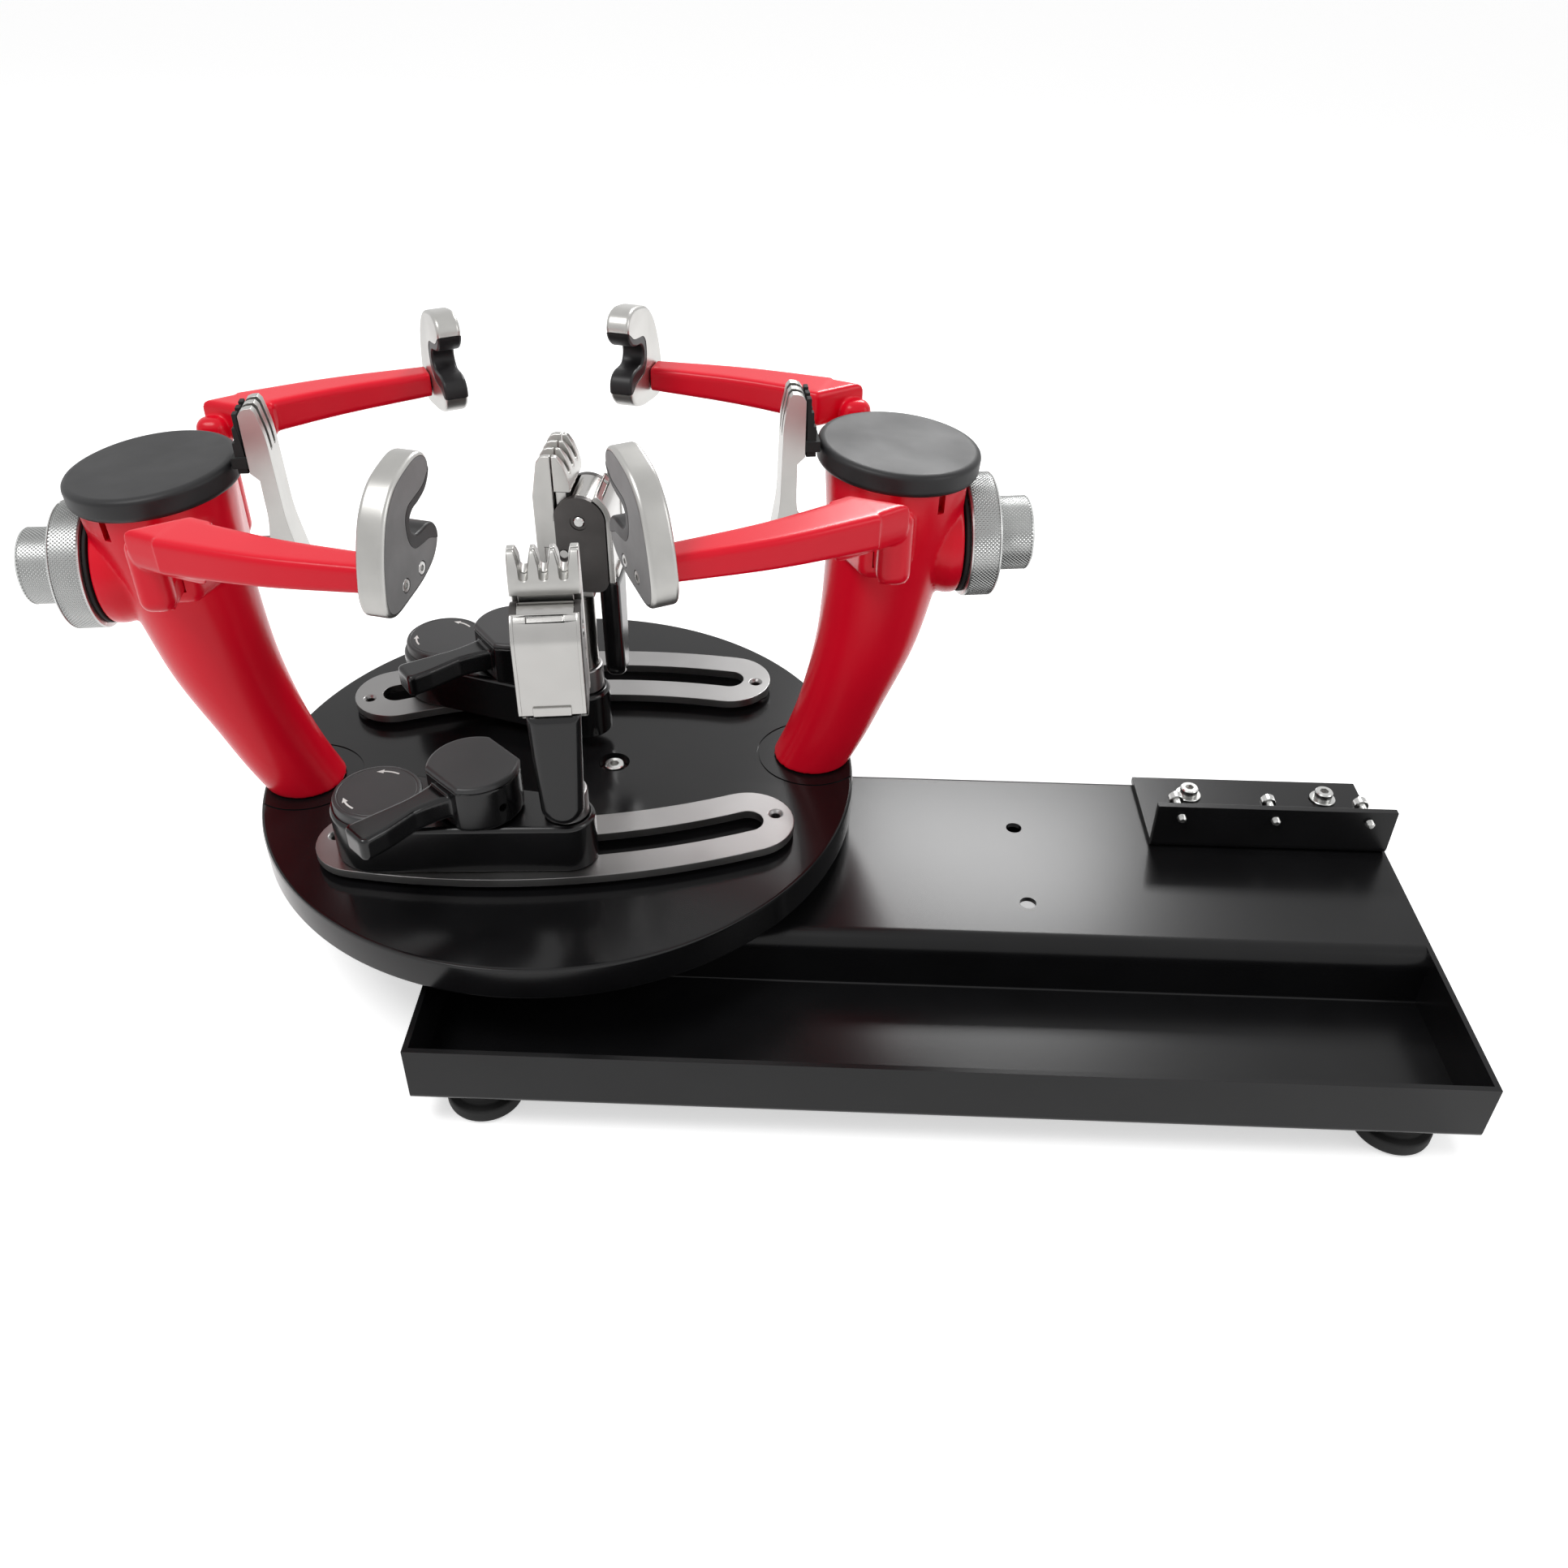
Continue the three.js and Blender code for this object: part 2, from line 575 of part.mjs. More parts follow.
function makeMast(parent, name) {
  const rings = mastHeightShares.map((share, i) => circleRing(
    mast.footRadius + (mast.headRadius - mast.footRadius) * mastGirthShares[i],
    mast.footX + mast.lean * mastLeanShares[i],
    fit.seat + (mast.height - fit.seat) * share,
    sides.medium,
  ));
  const boss = [
    [0, shaft.bossStart], [shaft.bossNeck, shaft.bossStart], [shaft.boss, shaft.bossEnd - shaft.rim],
    [shaft.boss, shaft.bossEnd], [0, shaft.bossEnd],
  ];
  const knobBoss = turned(boss, sides.medium).rotateY(rightAngle).translate(0, 0, shaft.height);
  const whole = join(skin(rings), knobBoss, guideForm(-1, guide.upper), guideForm(1, guide.lower));
  const big = mast.height;
  const underCap = -cap.thickness - fit.seat;
  const above = tiltToCap(block([-big, -big, underCap], [big, big, big]));
  const pastBoss = block([shaft.bossEnd, -big, cavity.floor - shaft.boss], [big * 2, big, big]);
  const hollow = rod(cavity.radius, cavity.floor, big, sides.small, cavity.x);
  const shaftBore = rodX(shaft.bore, cavity.x, shaft.bossEnd + fit.overrun, sides.small, 0, shaft.height);
  const legHalf = support.legHalfWidth + fit.sliding;
  const legRise = support.legHalfHeight + fit.sliding;
  const legBore = block(
    [mast.footX - mast.footRadius, -legHalf, shaft.height - legRise],
    [cavity.x - cavity.radius / 2, legHalf, shaft.height + legRise],
  );
  const vents = [-1, 1].map((side) => {
    const outer = side * mast.headRadius;
    const inner = side * (mast.headRadius - ventSlot.depth);
    return block(
      [ventSlot.x, Math.min(outer, inner), ventSlot.bottom],
      [ventSlot.x + ventSlot.width, Math.max(outer, inner), big],
    );
  });
  const bores = [hollow, shaftBore, legBore, barSlot(-1), barSlot(1), ...vents];
  add(parent, name, cut(whole, above, pastBoss, ...bores), redPaint);
}

function makeCap(parent, name) {
  const rim = cap.radius - cap.edge;
  const profile = [
    [0, -cap.thickness], [rim, -cap.thickness], [cap.radius, cap.edge / 2 - cap.thickness],
    [cap.radius, -cap.edge], [cap.radius - cap.edge / 3, -cap.edge / 3], [rim, 0], [0, 0],
  ];
  add(parent, name, tiltToCap(turned(profile, sides.large)), mattePlastic);
}

// The hook's own frame: s inwards over the racket frame, z up, and the inner face at zero
function placeHook(geometry) {
  const turn = hook.turn * degree;
  const inward = new THREE.Vector3(-Math.sin(turn), -Math.cos(turn), 0);
  const up = new THREE.Vector3(0, 0, 1);
  const basis = new THREE.Matrix4().makeBasis(inward, up, inward.clone().cross(up));
  return geometry.applyMatrix4(basis).translate(hook.x, hook.y, 0);
}

// Point of the hook's frame in the head's frame, t along the arm from the inner face
function hookPoint(s, t) {
  const turn = hook.turn * degree;
  return [
    hook.x - s * Math.sin(turn) + t * Math.cos(turn),
    hook.y - s * Math.cos(turn) - t * Math.sin(turn),
  ];
}

// Side outline of a hook in shares of its depth and height: back, crown, notch, lower lip
const hookBackShares = [
  [0.02, 0.06], [-0.02, 0.16], [0, 0.34], [0.06, 0.54], [0.19, 0.78], [0.38, 0.93], [0.6, 0.985], [0.82, 1],
];
const hookCrownShares = [[0.94, 0.97], [0.99, 0.88], [0.94, 0.78], [0.83, 0.7], [0.68, 0.645]];
const hookNotchShares = [[0.59, 0.62], [0.56, 0.58], [0.6, 0.545]];
const hookLipShares = [
  [0.71, 0.555], [0.86, 0.5], [0.97, 0.4], [0.98, 0.28], [0.9, 0.15], [0.74, 0.06], [0.5, 0.02], [0.12, 0],
];
const hookSteps = 24;

function hookShape() {
  const at = ([s, z]) => new THREE.Vector2(s * hook.depth, hook.base + z * hook.height);
  const loop = [...hookBackShares, ...hookCrownShares, ...hookNotchShares, ...hookLipShares].map(at);
  const curve = new THREE.CatmullRomCurve3(loop.map(({ x, y }) => new THREE.Vector3(x, y, 0)), true);
  const along = curve.getPoints(hookSteps).slice(0, -1);
  return new THREE.Shape(along.map(({ x, y }) => new THREE.Vector2(x, y)));
}

// The lining's seat: an ellipse round the notch
function liningSeat(gap) {
  const shape = new THREE.Shape();
  const radii = [lining.halfDepth - gap, lining.halfHeight - gap];
  shape.absellipse(lining.centreS, lining.centreZ, ...radii, 0, fullTurn, false, 0);
  return shape;
}

function makeHook(parent, hookName, liningName) {
  const faceTo = -lining.face - fit.seat;
  const whole = hook.thickness + lining.face + fit.seat;
  const metal = raised(hookShape(), -whole, faceTo, 1, hook.edge);
  const seatCut = raised(liningSeat(0), -whole - fit.overrun, fit.overrun, arcSteps.fine);
  add(parent, hookName, placeHook(geometryFrom(cut(metal, seatCut))), castSilver);
  const filling = common(
    raised(hookShape(), -whole, 0, 1, hook.edge),
    raised(liningSeat(fit.seat), -whole - fit.overrun, fit.overrun, arcSteps.fine),
  );
  const face = raised(hookShape(), -lining.face - hook.edge, hook.edge, 1, hook.edge);
  const faceSlice = common(face, block([-hook.depth, 0, -lining.face], [2 * hook.depth, 2 * hook.base, 0]));
  const recesses = [[hookScrew.lowS, hookScrew.lowZ], [hookScrew.highS, hookScrew.highZ]].map(([s, z]) => (
    rod(hookScrew.radius, -hookScrew.depth, fit.overrun, sides.tiny, s, z)
  ));
  add(parent, liningName, placeHook(geometryFrom(cut(join(filling, faceSlice), ...recesses))), mattePlastic);
}

// A ring of an arm: a rectangle with chamfered corners, square to the arm's run in plan
function armRing(at, along, width, height) {
  const across = new THREE.Vector3(-along.y, along.x, 0);
  const halfWidth = width / 2;
  const halfHeight = height / 2;
  const middle = arm.top - halfHeight;
  const corners = [];
  [[-1, -1], [1, -1], [1, 1], [-1, 1]].forEach(([sideA, sideB]) => {
    const outer = [halfWidth, halfHeight - arm.edge];
    const inner = [halfWidth - arm.edge, halfHeight];
    const pair = sideA * sideB > 0 ? [outer, inner] : [inner, outer];
    const corner = arm.edge * arm.cornerShare;
    const between = [halfWidth - corner, halfHeight - corner];
    [pair[0], between, pair[1]].forEach(([a, b]) => {
      const point = at.clone().addScaledVector(across, sideA * a);
      corners.push(point.setZ(middle + sideB * b));
    });
  });
  return corners;
}

// The bowed run of an arm from the hook's back to the root
function armRun() {
  const tip = hookPoint(armSeat, hook.thickness + lining.face + 2 * fit.seat);
  const path = new THREE.CatmullRomCurve3([
    new THREE.Vector3(...tip, 0), new THREE.Vector3(armBow.x, armBow.y, 0),
    new THREE.Vector3(arm.rootX, arm.rootY, 0),
  ]);
  const rings = Array.from({ length: arm.stations + 1 }, (_, i) => {
    const share = i / arm.stations;
    const along = path.getTangentAt(share);
    const width = arm.tipWidth + (arm.rootWidth - arm.tipWidth) * share;
    const height = arm.tipHeight + (arm.rootHeight - arm.tipHeight) * share;
    return armRing(path.getPointAt(share), along, width, height);
  });
  return skin(rings);
}

// Side arm: the bowed run, the root block, the bar in the guide and a leg down to a low bar
function makeArm(parent, name, side) {
  const rootShape = polygon([
    [root.innerX, root.innerY], [root.heelX, root.heelY], [root.outerX, root.outerY],
    [root.shoulderX, root.shoulderY], [root.kneeX, root.kneeY],
  ]);
  const rootBlock = raised(rootShape, root.bottom, arm.top - fit.seat, 1, root.edge);
  const [low, high] = barSpan(side);
  const half = bar.width / 2;
  const parts = [armRun(), rootBlock, block([bar.x - half, -bar.end, low], [bar.x + half, bar.legEnd, high])];
  if (high < root.bottom) {
    parts.push(block(
      [bar.x - half + fit.seat, bar.legStart, low + fit.seat],
      [bar.x + half - fit.seat, bar.legEnd - fit.seat, root.bottom + bar.depth],
    ));
  }
  add(parent, name, join(...parts), redPaint);
}

// Centre support: side profile pulled out in width, with prongs and a square leg
function makeSupport(parent, name) {
  const outer = support.innerX + support.stem;
  const low = shaft.height - support.legHalfHeight;
  const legTop = shaft.height + support.legHalfHeight;
  const seatX = outer + support.padSeat;
  const side = polygon([
    [support.innerX - support.lean, low], [support.legEnd, low], [support.legEnd, legTop],
    [support.heel, legTop], [outer + support.lean, legTop + support.legHalfHeight], [outer, support.waist],
    [outer, support.padBottom - support.padSeat], [seatX, support.padBottom], [seatX, pad.top],
    [seatX - support.padSeat, support.top], [seatX - 2 * support.padSeat, support.top],
    [support.innerX + support.lean, support.top - 2 * support.padSeat], [support.innerX, support.waist],
  ]);
  const half = support.width / 2;
  const stem = pulledY(side, -half, half);
  const legSides = [-1, 1].map((hand) => {
    const inner = hand * support.legHalfWidth;
    const outerY = hand * (half + fit.overrun);
    return block(
      [support.heel - fit.overrun / 2, Math.min(inner, outerY), low - fit.overrun],
      [support.legEnd + fit.overrun, Math.max(inner, outerY), legTop + fit.seat],
    );
  });
  const bore = rodX(armKnob.bore, support.boreEnd, support.legEnd + fit.overrun, sides.tiny, 0, shaft.height);
  add(parent, name, cut(stem, ...legSides, ...prongSlots(support.innerX - fit.overrun), bore), castSilver);
}

// The gaps between the prongs, cut from the top
function prongSlots(fromX) {
  const pitch = (support.width - support.prong) / (support.prongs - 1);
  const gap = pitch - support.prong;
  return Array.from({ length: support.prongs - 1 }, (_, i) => {
    const y = -support.width / 2 + support.prong + i * pitch;
    return block(
      [fromX, y, support.top - support.prongDepth],
      [support.heel + support.width, y + gap, support.top + fit.overrun],
    );
  });
}

// Soft pad on the support's outer face, stepped, with a lug towards the cap
function makePad(parent, name) {
  const x = support.innerX + support.stem + support.padSeat + fit.seat;
  const outer = x + pad.thickness;
  const rise = (pad.top - pad.lugBottom - pad.lugHeight) / pad.steps;
  const outline = [[x, support.padBottom], [outer, support.padBottom]];
  for (let i = 0; i < pad.steps; i += 1) {
    const z = pad.lugBottom + pad.lugHeight + i * rise;
    outline.push([outer - i * pad.step, z], [outer - (i + 1) * pad.step, z]);
  }
  outline.push([outer - pad.steps * pad.step, pad.top], [x, pad.top]);
  const strip = pulledY(polygon(outline), -support.width / 2, support.width / 2);
  const lugEnd = cap.x - cap.radius - fit.seat;
  const lug = block(
    [x, -pad.lugWidth / 2, pad.lugBottom], [lugEnd, pad.lugWidth / 2, pad.lugBottom + pad.lugHeight],
  );
  add(parent, name, join(cut(strip, ...prongSlots(x - fit.overrun)), lug), rubber);
}

// Big knob with its hollow shaft and the drum between the bars
function makeArmKnob(parent, name) {
  const rim = armKnob.radius - armKnob.edge;
  const neckStart = shaft.bossEnd + fit.seat;
  const innerEnd = bar.x - bar.width / 2;
  const profile = [
    [0, innerEnd], [drum.radius, innerEnd], [drum.radius, innerEnd + bar.width],
    [armKnob.tube, innerEnd + bar.width], [armKnob.tube, neckStart], [armKnob.neckRadius, neckStart],
    [armKnob.neckRadius, armKnob.start], [rim, armKnob.start], [armKnob.radius, armKnob.start + armKnob.edge],
    [armKnob.radius, armKnob.end - armKnob.edge], [rim, armKnob.end], [0, armKnob.end],
  ];
  const knob = turned(profile, sides.large).rotateY(rightAngle).translate(0, 0, shaft.height);
  const [inside, outside] = [innerEnd - fit.overrun, armKnob.end + fit.overrun];
  const bore = rodX(armKnob.bore, inside, outside, sides.tiny, 0, shaft.height);
  add(parent, name, cut(knob, bore), zinc);
}

// Small knob on the inner shaft, which screws into the support's leg
function makeSupportKnob(parent, name) {
  const start = armKnob.end + fit.seat;
  const rim = supportKnob.radius - supportKnob.edge;
  const profile = [
    [0, supportKnob.shaftEnd], [supportKnob.shaft, supportKnob.shaftEnd], [supportKnob.shaft, start],
    [rim, start], [supportKnob.radius, start + supportKnob.edge],
    [supportKnob.radius, supportKnob.end - supportKnob.edge], [rim, supportKnob.end], [0, supportKnob.end],
  ];
  const knob = turned(profile, sides.medium).rotateY(rightAngle).translate(0, 0, shaft.height);
  add(parent, name, knob, zinc);
}

function makeHead(name) {
  const parent = heads[name];
  makeMast(parent, `mast_${name}`);
  makeCap(parent, `mast_cap_${name}`);
  makeArmKnob(parent, `arm_knob_${name}`);
  makeSupportKnob(parent, `support_knob_${name}`);
  makeSupport(parent, `centre_support_${name}`);
  makePad(parent, `support_pad_${name}`);
  ['front', 'rear'].forEach((place) => {
    const side = place === 'rear' ? 1 : -1;
    const quarter = new THREE.Group();
    quarter.scale.y = side;
    parent.add(quarter);
    makeArm(quarter, `side_arm_${place}_${name}`, side);
    makeHook(quarter, `hook_${place}_${name}`, `hook_lining_${place}_${name}`);
  });
}

// Clamp base: a casting over two circles with a dial, a lock seat and the post's bore
function makeClampBase(parent, name) {
  const lean = Math.asin((clamp.pivotRadius - clamp.postRadius) / clamp.reach);
  const outline = new THREE.Shape();
  outline.absarc(0, 0, clamp.pivotRadius, rightAngle - lean, 3 * rightAngle + lean, false);
  outline.absarc(clamp.reach, 0, clamp.postRadius, lean - rightAngle, rightAngle - lean, false);
  const casting = raised(outline, clamp.bottom, clamp.top, arcSteps.fine, clamp.edge);
  const rooted = clamp.top - clamp.edge;
  const past = clamp.top + fit.overrun;
  const dial = turned([
    [0, rooted], [clamp.dialRadius, rooted], [clamp.dialRadius, clamp.dialTop - clamp.dialEdge],
    [clamp.dialRadius - clamp.dialEdge, clamp.dialTop], [0, clamp.dialTop],
  ], sides.large);
  const seat = rod(clamp.lockSeat, rooted, clamp.top + clamp.lockSeatHeight, sides.medium, clamp.lockReach);
  const postBore = rod(post.radius + fit.running, post.bottom - fit.seat, past, sides.medium, clamp.reach);
  const lockBore = rod(lock.pin + fit.running, lock.pinEnd - fit.seat, past, sides.small, clamp.lockReach);
  const under = clamp.bottom - fit.overrun;
  const studBore = rod(stud.radius + fit.running, under, stud.top + fit.seat, sides.small);
  add(parent, name, cut(join(casting, dial, seat), postBore, lockBore, studBore), blackPaint);
}

// Stud with a flat head under the track and a neck in the slot
function makeStud(parent, name) {
  const headTop = stud.lift + stud.headHeight;
  const neckTop = clamp.bottom - fit.seat;
  const profile = [
    [0, stud.lift], [stud.headRadius, stud.lift], [stud.headRadius, headTop], [stud.neckRadius, headTop],
    [stud.neckRadius, neckTop], [stud.radius, neckTop], [stud.radius, stud.top], [0, stud.top],
  ];
  add(parent, name, turned(profile, sides.small), brushedSteel);
}

// Lock lever: an oval hub with two flats and a bent blade
function makeLockLever(parent, name) {
  const flatAngle = Math.acos(lock.halfWidth / lock.radius);
  const oval = new THREE.Shape();
  oval.absarc(0, 0, lock.radius, flatAngle - rightAngle, rightAngle - flatAngle, false);
  oval.absarc(0, 0, lock.radius, rightAngle + flatAngle, 3 * rightAngle - flatAngle, false);
  const hubForm = raised(oval, lock.bottom, lock.top, arcSteps.plain, lock.edge).rotateZ(rightAngle);
  const blade = new THREE.Shape();
  blade.moveTo(0, -lock.bladeRoot);
  blade.quadraticCurveTo(lock.waistAt / 2, -lock.bladeRoot, lock.waistAt, -lock.bladeWaist);
  blade.lineTo(lock.reach - lock.bladeTip, -lock.bladeTip);
  blade.absarc(lock.reach - lock.bladeTip, 0, lock.bladeTip, -rightAngle, rightAngle, false);
  blade.lineTo(lock.waistAt, lock.bladeWaist / 2);
  blade.quadraticCurveTo(lock.waistAt / 2, lock.bladeRoot / 2, 0, lock.bladeRoot);
  const bladeForm = raised(blade, lock.bladeBottom, lock.bladeTop, arcSteps.coarse, lock.edge / 2);
  const pin = rod(lock.pin, lock.pinEnd, lock.bottom + lock.edge, sides.small);
  const past = lock.radius + fit.overrun;
  const setScrew = rodY(lock.setScrew, lock.halfWidth / 2, past, sides.tiny, 0, lock.setScrewHeight);
  add(parent, name, cut(join(hubForm, bladeForm, pin), setScrew), blackPlastic);
}

function makeCollar(parent, name) {
  const inner = post.radius + fit.running;
  const low = clamp.top + fit.seat;
  const high = low + collar.height;
  const profile = [
    [inner, low], [collar.radius, low], [collar.radius, high - collar.edge],
    [collar.radius - collar.edge, high], [inner, high], [inner, low],
  ];
  add(parent, name, turned(profile, sides.medium), brushedSteel);
}

function makePost(parent, name) {
  const profile = [
    [0, post.bottom], [post.radius, post.bottom], [post.radius, post.top], [post.stub, post.top],
    [post.stub, post.stubTop], [0, post.stubTop],
  ];
  add(parent, name, turned(profile, sides.medium), brushedSteel);
}

// Gaps between the teeth of both jaws, for the strings that run past
function toothGaps() {
  const pitch = (head.width - tooth.width) / (tooth.count - 1);
  const gap = pitch - tooth.width;
  return Array.from({ length: tooth.count - 1 }, (_, i) => {
    const u = -head.width / 2 + tooth.width + i * pitch + gap / 2;
    const floor = head.top - tooth.depth + gap / 2;
    return join(
      rodY(gap / 2, -head.width, head.width, sides.tiny, u, floor),
      block([u - gap / 2, -head.width, floor], [u + gap / 2, head.width, head.top + fit.overrun]),
    );
  });
}

// Clamp body: fixed jaw, base block over the post's stub, and two cheeks for the lever
function makeClampBody(parent, name) {
  const splitFace = -head.split - fit.seat;
  const jawSide = pulledX(polygon([
    [-head.back, head.bottom], [splitFace, head.bottom], [splitFace, head.top],
    [splitFace - head.crown / 2, head.top], [splitFace - head.crown, head.top - head.crown / 2],
    [-head.back, head.backSlope],
  ]), head.width / 2);
  const baseHalf = head.width / 2 - fit.seat;
  const baseBlock = block(
    [-baseHalf, fit.seat - head.back, head.bottom + fit.seat], [baseHalf, head.blockFront, head.blockTop],
  );
  const cheekRadius = lever.radius - lever.shell - fit.seat;
  const outline = new THREE.Shape();
  outline.absarc(lever.pivotV, lever.pivotZ, cheekRadius, 0, Math.PI, false);
  outline.lineTo(splitFace - fit.seat, lever.pivotZ);
  outline.lineTo(splitFace - fit.seat, head.cheekBottom);
  outline.lineTo(lever.pivotV + cheekRadius - head.crown, head.cheekBottom);
  outline.lineTo(lever.pivotV + cheekRadius, head.cheekBottom + head.crown);
  const cheek = (side) => {
    const halfThickness = (head.width - head.cheekGap) / 4;
    const u = side * (head.cheekGap / 2 + halfThickness);
    return pulledX(outline, halfThickness).translate(u, 0, 0);
  };
  const under = head.bottom - fit.overrun;
  const stubBore = rod(post.stub + fit.running, under, post.stubTop + fit.seat, sides.small);
  const half = head.width / 2 + fit.overrun;
  const pinBore = rodX(lever.pin + fit.running, -half, half, sides.tiny, lever.pivotV, lever.pivotZ);
  const jawPinBore = rodX(jaw.pin + fit.running, -half, half, sides.tiny, jawPivotV(), jaw.pinHeight);
  const tongueRoom = block(
    [-head.cheekGap / 2, splitFace, jaw.tongueBottom - jaw.tongueGap],
    [head.cheekGap / 2, head.blockFront + fit.overrun, head.blockTop + fit.overrun],
  );
  const whole = join(jawSide, cut(baseBlock, tongueRoom), cheek(-1), cheek(1));
  add(parent, name, cut(whole, stubBore, pinBore, jawPinBore, ...toothGaps()), castSilver);
}

function jawPivotV() {
  return (jaw.front - head.split) / 2;
}

// Moving jaw: a tongue between the cheeks on its own pin, under a toothed head
function makeJaw(parent, name) {
  const back = fit.seat - head.split;
  const tongueHalf = head.cheekGap / 2 - fit.sliding;
  const shoulder = jaw.headBottom + fit.overrun;
  const tongue = block([-tongueHalf, back, jaw.tongueBottom], [tongueHalf, jaw.front, shoulder]);
  const crown = pulledX(polygon([
    [back, jaw.headBottom], [jaw.headFront, jaw.headBottom], [jaw.headFront, shoulder],
    [back + head.crown / 2, head.top], [back, head.top],
  ]), head.width / 2);
  const pins = rodX(jaw.pin, -head.width / 2, head.width / 2, sides.tiny, jawPivotV(), jaw.pinHeight);
  add(parent, name, cut(join(tongue, crown, pins), ...toothGaps()), castSilver);
}

// Clamp lever: a curved shell about the pivot with a web and a lobe between the cheeks
function makeClampLever(parent, name) {
  const top = lever.topAngle * degree;
  const outer = lever.radius;
  const inner = outer - lever.shell;
  const shell = new THREE.Shape();
  shell.moveTo(lever.pivotV + inner, lever.bottom);
  shell.lineTo(lever.pivotV + outer, lever.bottom);
  shell.absarc(lever.pivotV, lever.pivotZ, outer, 0, top, false);
  shell.absarc(lever.pivotV, lever.pivotZ, inner, top, 0, true);
  const cover = pulledX(shell, lever.width / 2);
  const flatHalf = Math.acos(lever.lobeFlat / lever.lobe);
  const flat = lever.flatTurn * degree;
  const cam = new THREE.Shape();
  cam.absarc(lever.pivotV, lever.pivotZ, lever.lobe, flat + flatHalf, flat - flatHalf + fullTurn, false);
  const lobe = pulledX(cam, lever.webHalf);
  const webHalf = lever.webHalf - fit.seat;
  const web = block(
    [-webHalf, lever.pivotV, lever.pivotZ - lever.lobe / 2],
    [webHalf, lever.pivotV + inner + fit.seat, lever.pivotZ + lever.lobe / 2],
  );
  const half = head.width / 2;
  const bore = rodX(lever.pin + fit.running, -half, half, sides.tiny, lever.pivotV, lever.pivotZ);
  add(parent, name, cut(join(cover, lobe, web), bore), chrome);
}

function makeLeverPin(parent, name) {
  const end = head.width / 2 + fit.sliding;
  add(parent, name, rodX(lever.pin, -end, end, sides.small, lever.pivotV, lever.pivotZ), zinc);
}

// Moulded grip under the lever's shell, narrowing to a round tip
function makeGrip(parent, name) {
  const seat = lever.bottom - fit.seat;
  const outline = new THREE.Shape();
  outline.moveTo(-grip.topHalf, seat);
  outline.lineTo(-grip.tipHalf, grip.bottom + grip.tipHalf);
  outline.absarc(0, grip.bottom + grip.tipHalf, grip.tipHalf, -Math.PI, 0, false);
  outline.lineTo(grip.topHalf, seat);
  const moulding = pulledY(outline, grip.back, grip.front, grip.edge);
  add(parent, name, moulding, blackPlastic);
}

function makeClamp(name, setting) {
  const pivotY = setting.side * (Math.sqrt(track.arcRadius ** 2 - setting.pivotX ** 2) - arcCentre);
  const base = group(turntable, setting.pivotX, pivotY, 0, setting.baseTurn);
  makeStud(base, `${name}_lock_stud`);
  makeClampBase(base, `${name}_clamp_base`);
  const lockPlace = group(base, clamp.lockReach, 0, 0, setting.lockTurn);
  makeLockLever(lockPlace, `${name}_lock_lever`);
  const postPlace = group(base, clamp.reach, 0, 0, setting.headTurn);
  makeCollar(postPlace, `${name}_post_collar`);
  makePost(postPlace, `${name}_clamp_post`);
  makeClampBody(postPlace, `${name}_clamp_body`);
  makeJaw(postPlace, `${name}_clamp_jaw`);
  makeClampLever(postPlace, `${name}_clamp_lever`);
  makeLeverPin(postPlace, `${name}_lever_pin`);
  makeGrip(postPlace, `${name}_lever_grip`);
}

makeTray();
makeFeet();
makeBracket();
makeBracketBolts();
makeAdjustingScrews();
makeSpindle();
makeDisc();
makeHubBolt();
makeTracks();
Object.keys(heads).forEach(makeHead);
Object.entries(clampSettings).forEach(([name, setting]) => makeClamp(name, setting));

// The origin goes below the middle of the machine's extent
machine.updateMatrixWorld(true);
const extent = new THREE.Box3().setFromObject(machine, true);
machine.position.set(-(extent.min.x + extent.max.x) / 2, -(extent.min.y + extent.max.y) / 2, -extent.min.z);

export default machine;
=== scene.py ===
# Looks of the bench-top racket stringing machine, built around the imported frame.
# Lengths in the tables below are millimetres; every object ends up in metres, in the frame's place.
import json
import math
from math import cos, radians, sin, sqrt

import bmesh
import bpy
from mathutils import Matrix, Vector


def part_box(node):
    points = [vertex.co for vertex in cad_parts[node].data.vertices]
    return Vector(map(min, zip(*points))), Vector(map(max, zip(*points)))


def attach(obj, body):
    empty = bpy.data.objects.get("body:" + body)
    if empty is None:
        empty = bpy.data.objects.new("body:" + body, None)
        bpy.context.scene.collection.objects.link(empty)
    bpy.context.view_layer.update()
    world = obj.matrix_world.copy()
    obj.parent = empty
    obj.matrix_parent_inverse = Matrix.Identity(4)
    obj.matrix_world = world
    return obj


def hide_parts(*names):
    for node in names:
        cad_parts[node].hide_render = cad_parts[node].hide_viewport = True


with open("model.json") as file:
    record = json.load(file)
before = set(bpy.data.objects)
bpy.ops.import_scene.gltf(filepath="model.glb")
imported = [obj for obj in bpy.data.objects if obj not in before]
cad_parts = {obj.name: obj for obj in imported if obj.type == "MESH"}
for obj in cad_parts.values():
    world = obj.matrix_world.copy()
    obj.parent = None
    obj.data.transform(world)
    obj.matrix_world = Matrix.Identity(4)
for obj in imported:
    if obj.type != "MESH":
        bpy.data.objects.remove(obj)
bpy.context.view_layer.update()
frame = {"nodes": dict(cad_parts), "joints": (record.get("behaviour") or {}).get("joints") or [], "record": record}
scene = bpy.context.scene

MM = 0.001
JOINTS = {joint["name"]: joint for joint in frame["joints"]}
FULL = 2 * math.pi
RIGHT_ANGLE = math.pi / 2
WELD = 1e-4
# How far a cutting tool stands past what it cuts
OVERRUN = 4


# Places: the tray's own frame, the turntable's, the two heads' and the clamps'
def scaled(x, y, z):
    return Matrix.Diagonal((x, y, z, 1))


def shifted(x, y, z=0.0):
    return Matrix.Translation((x, y, z))


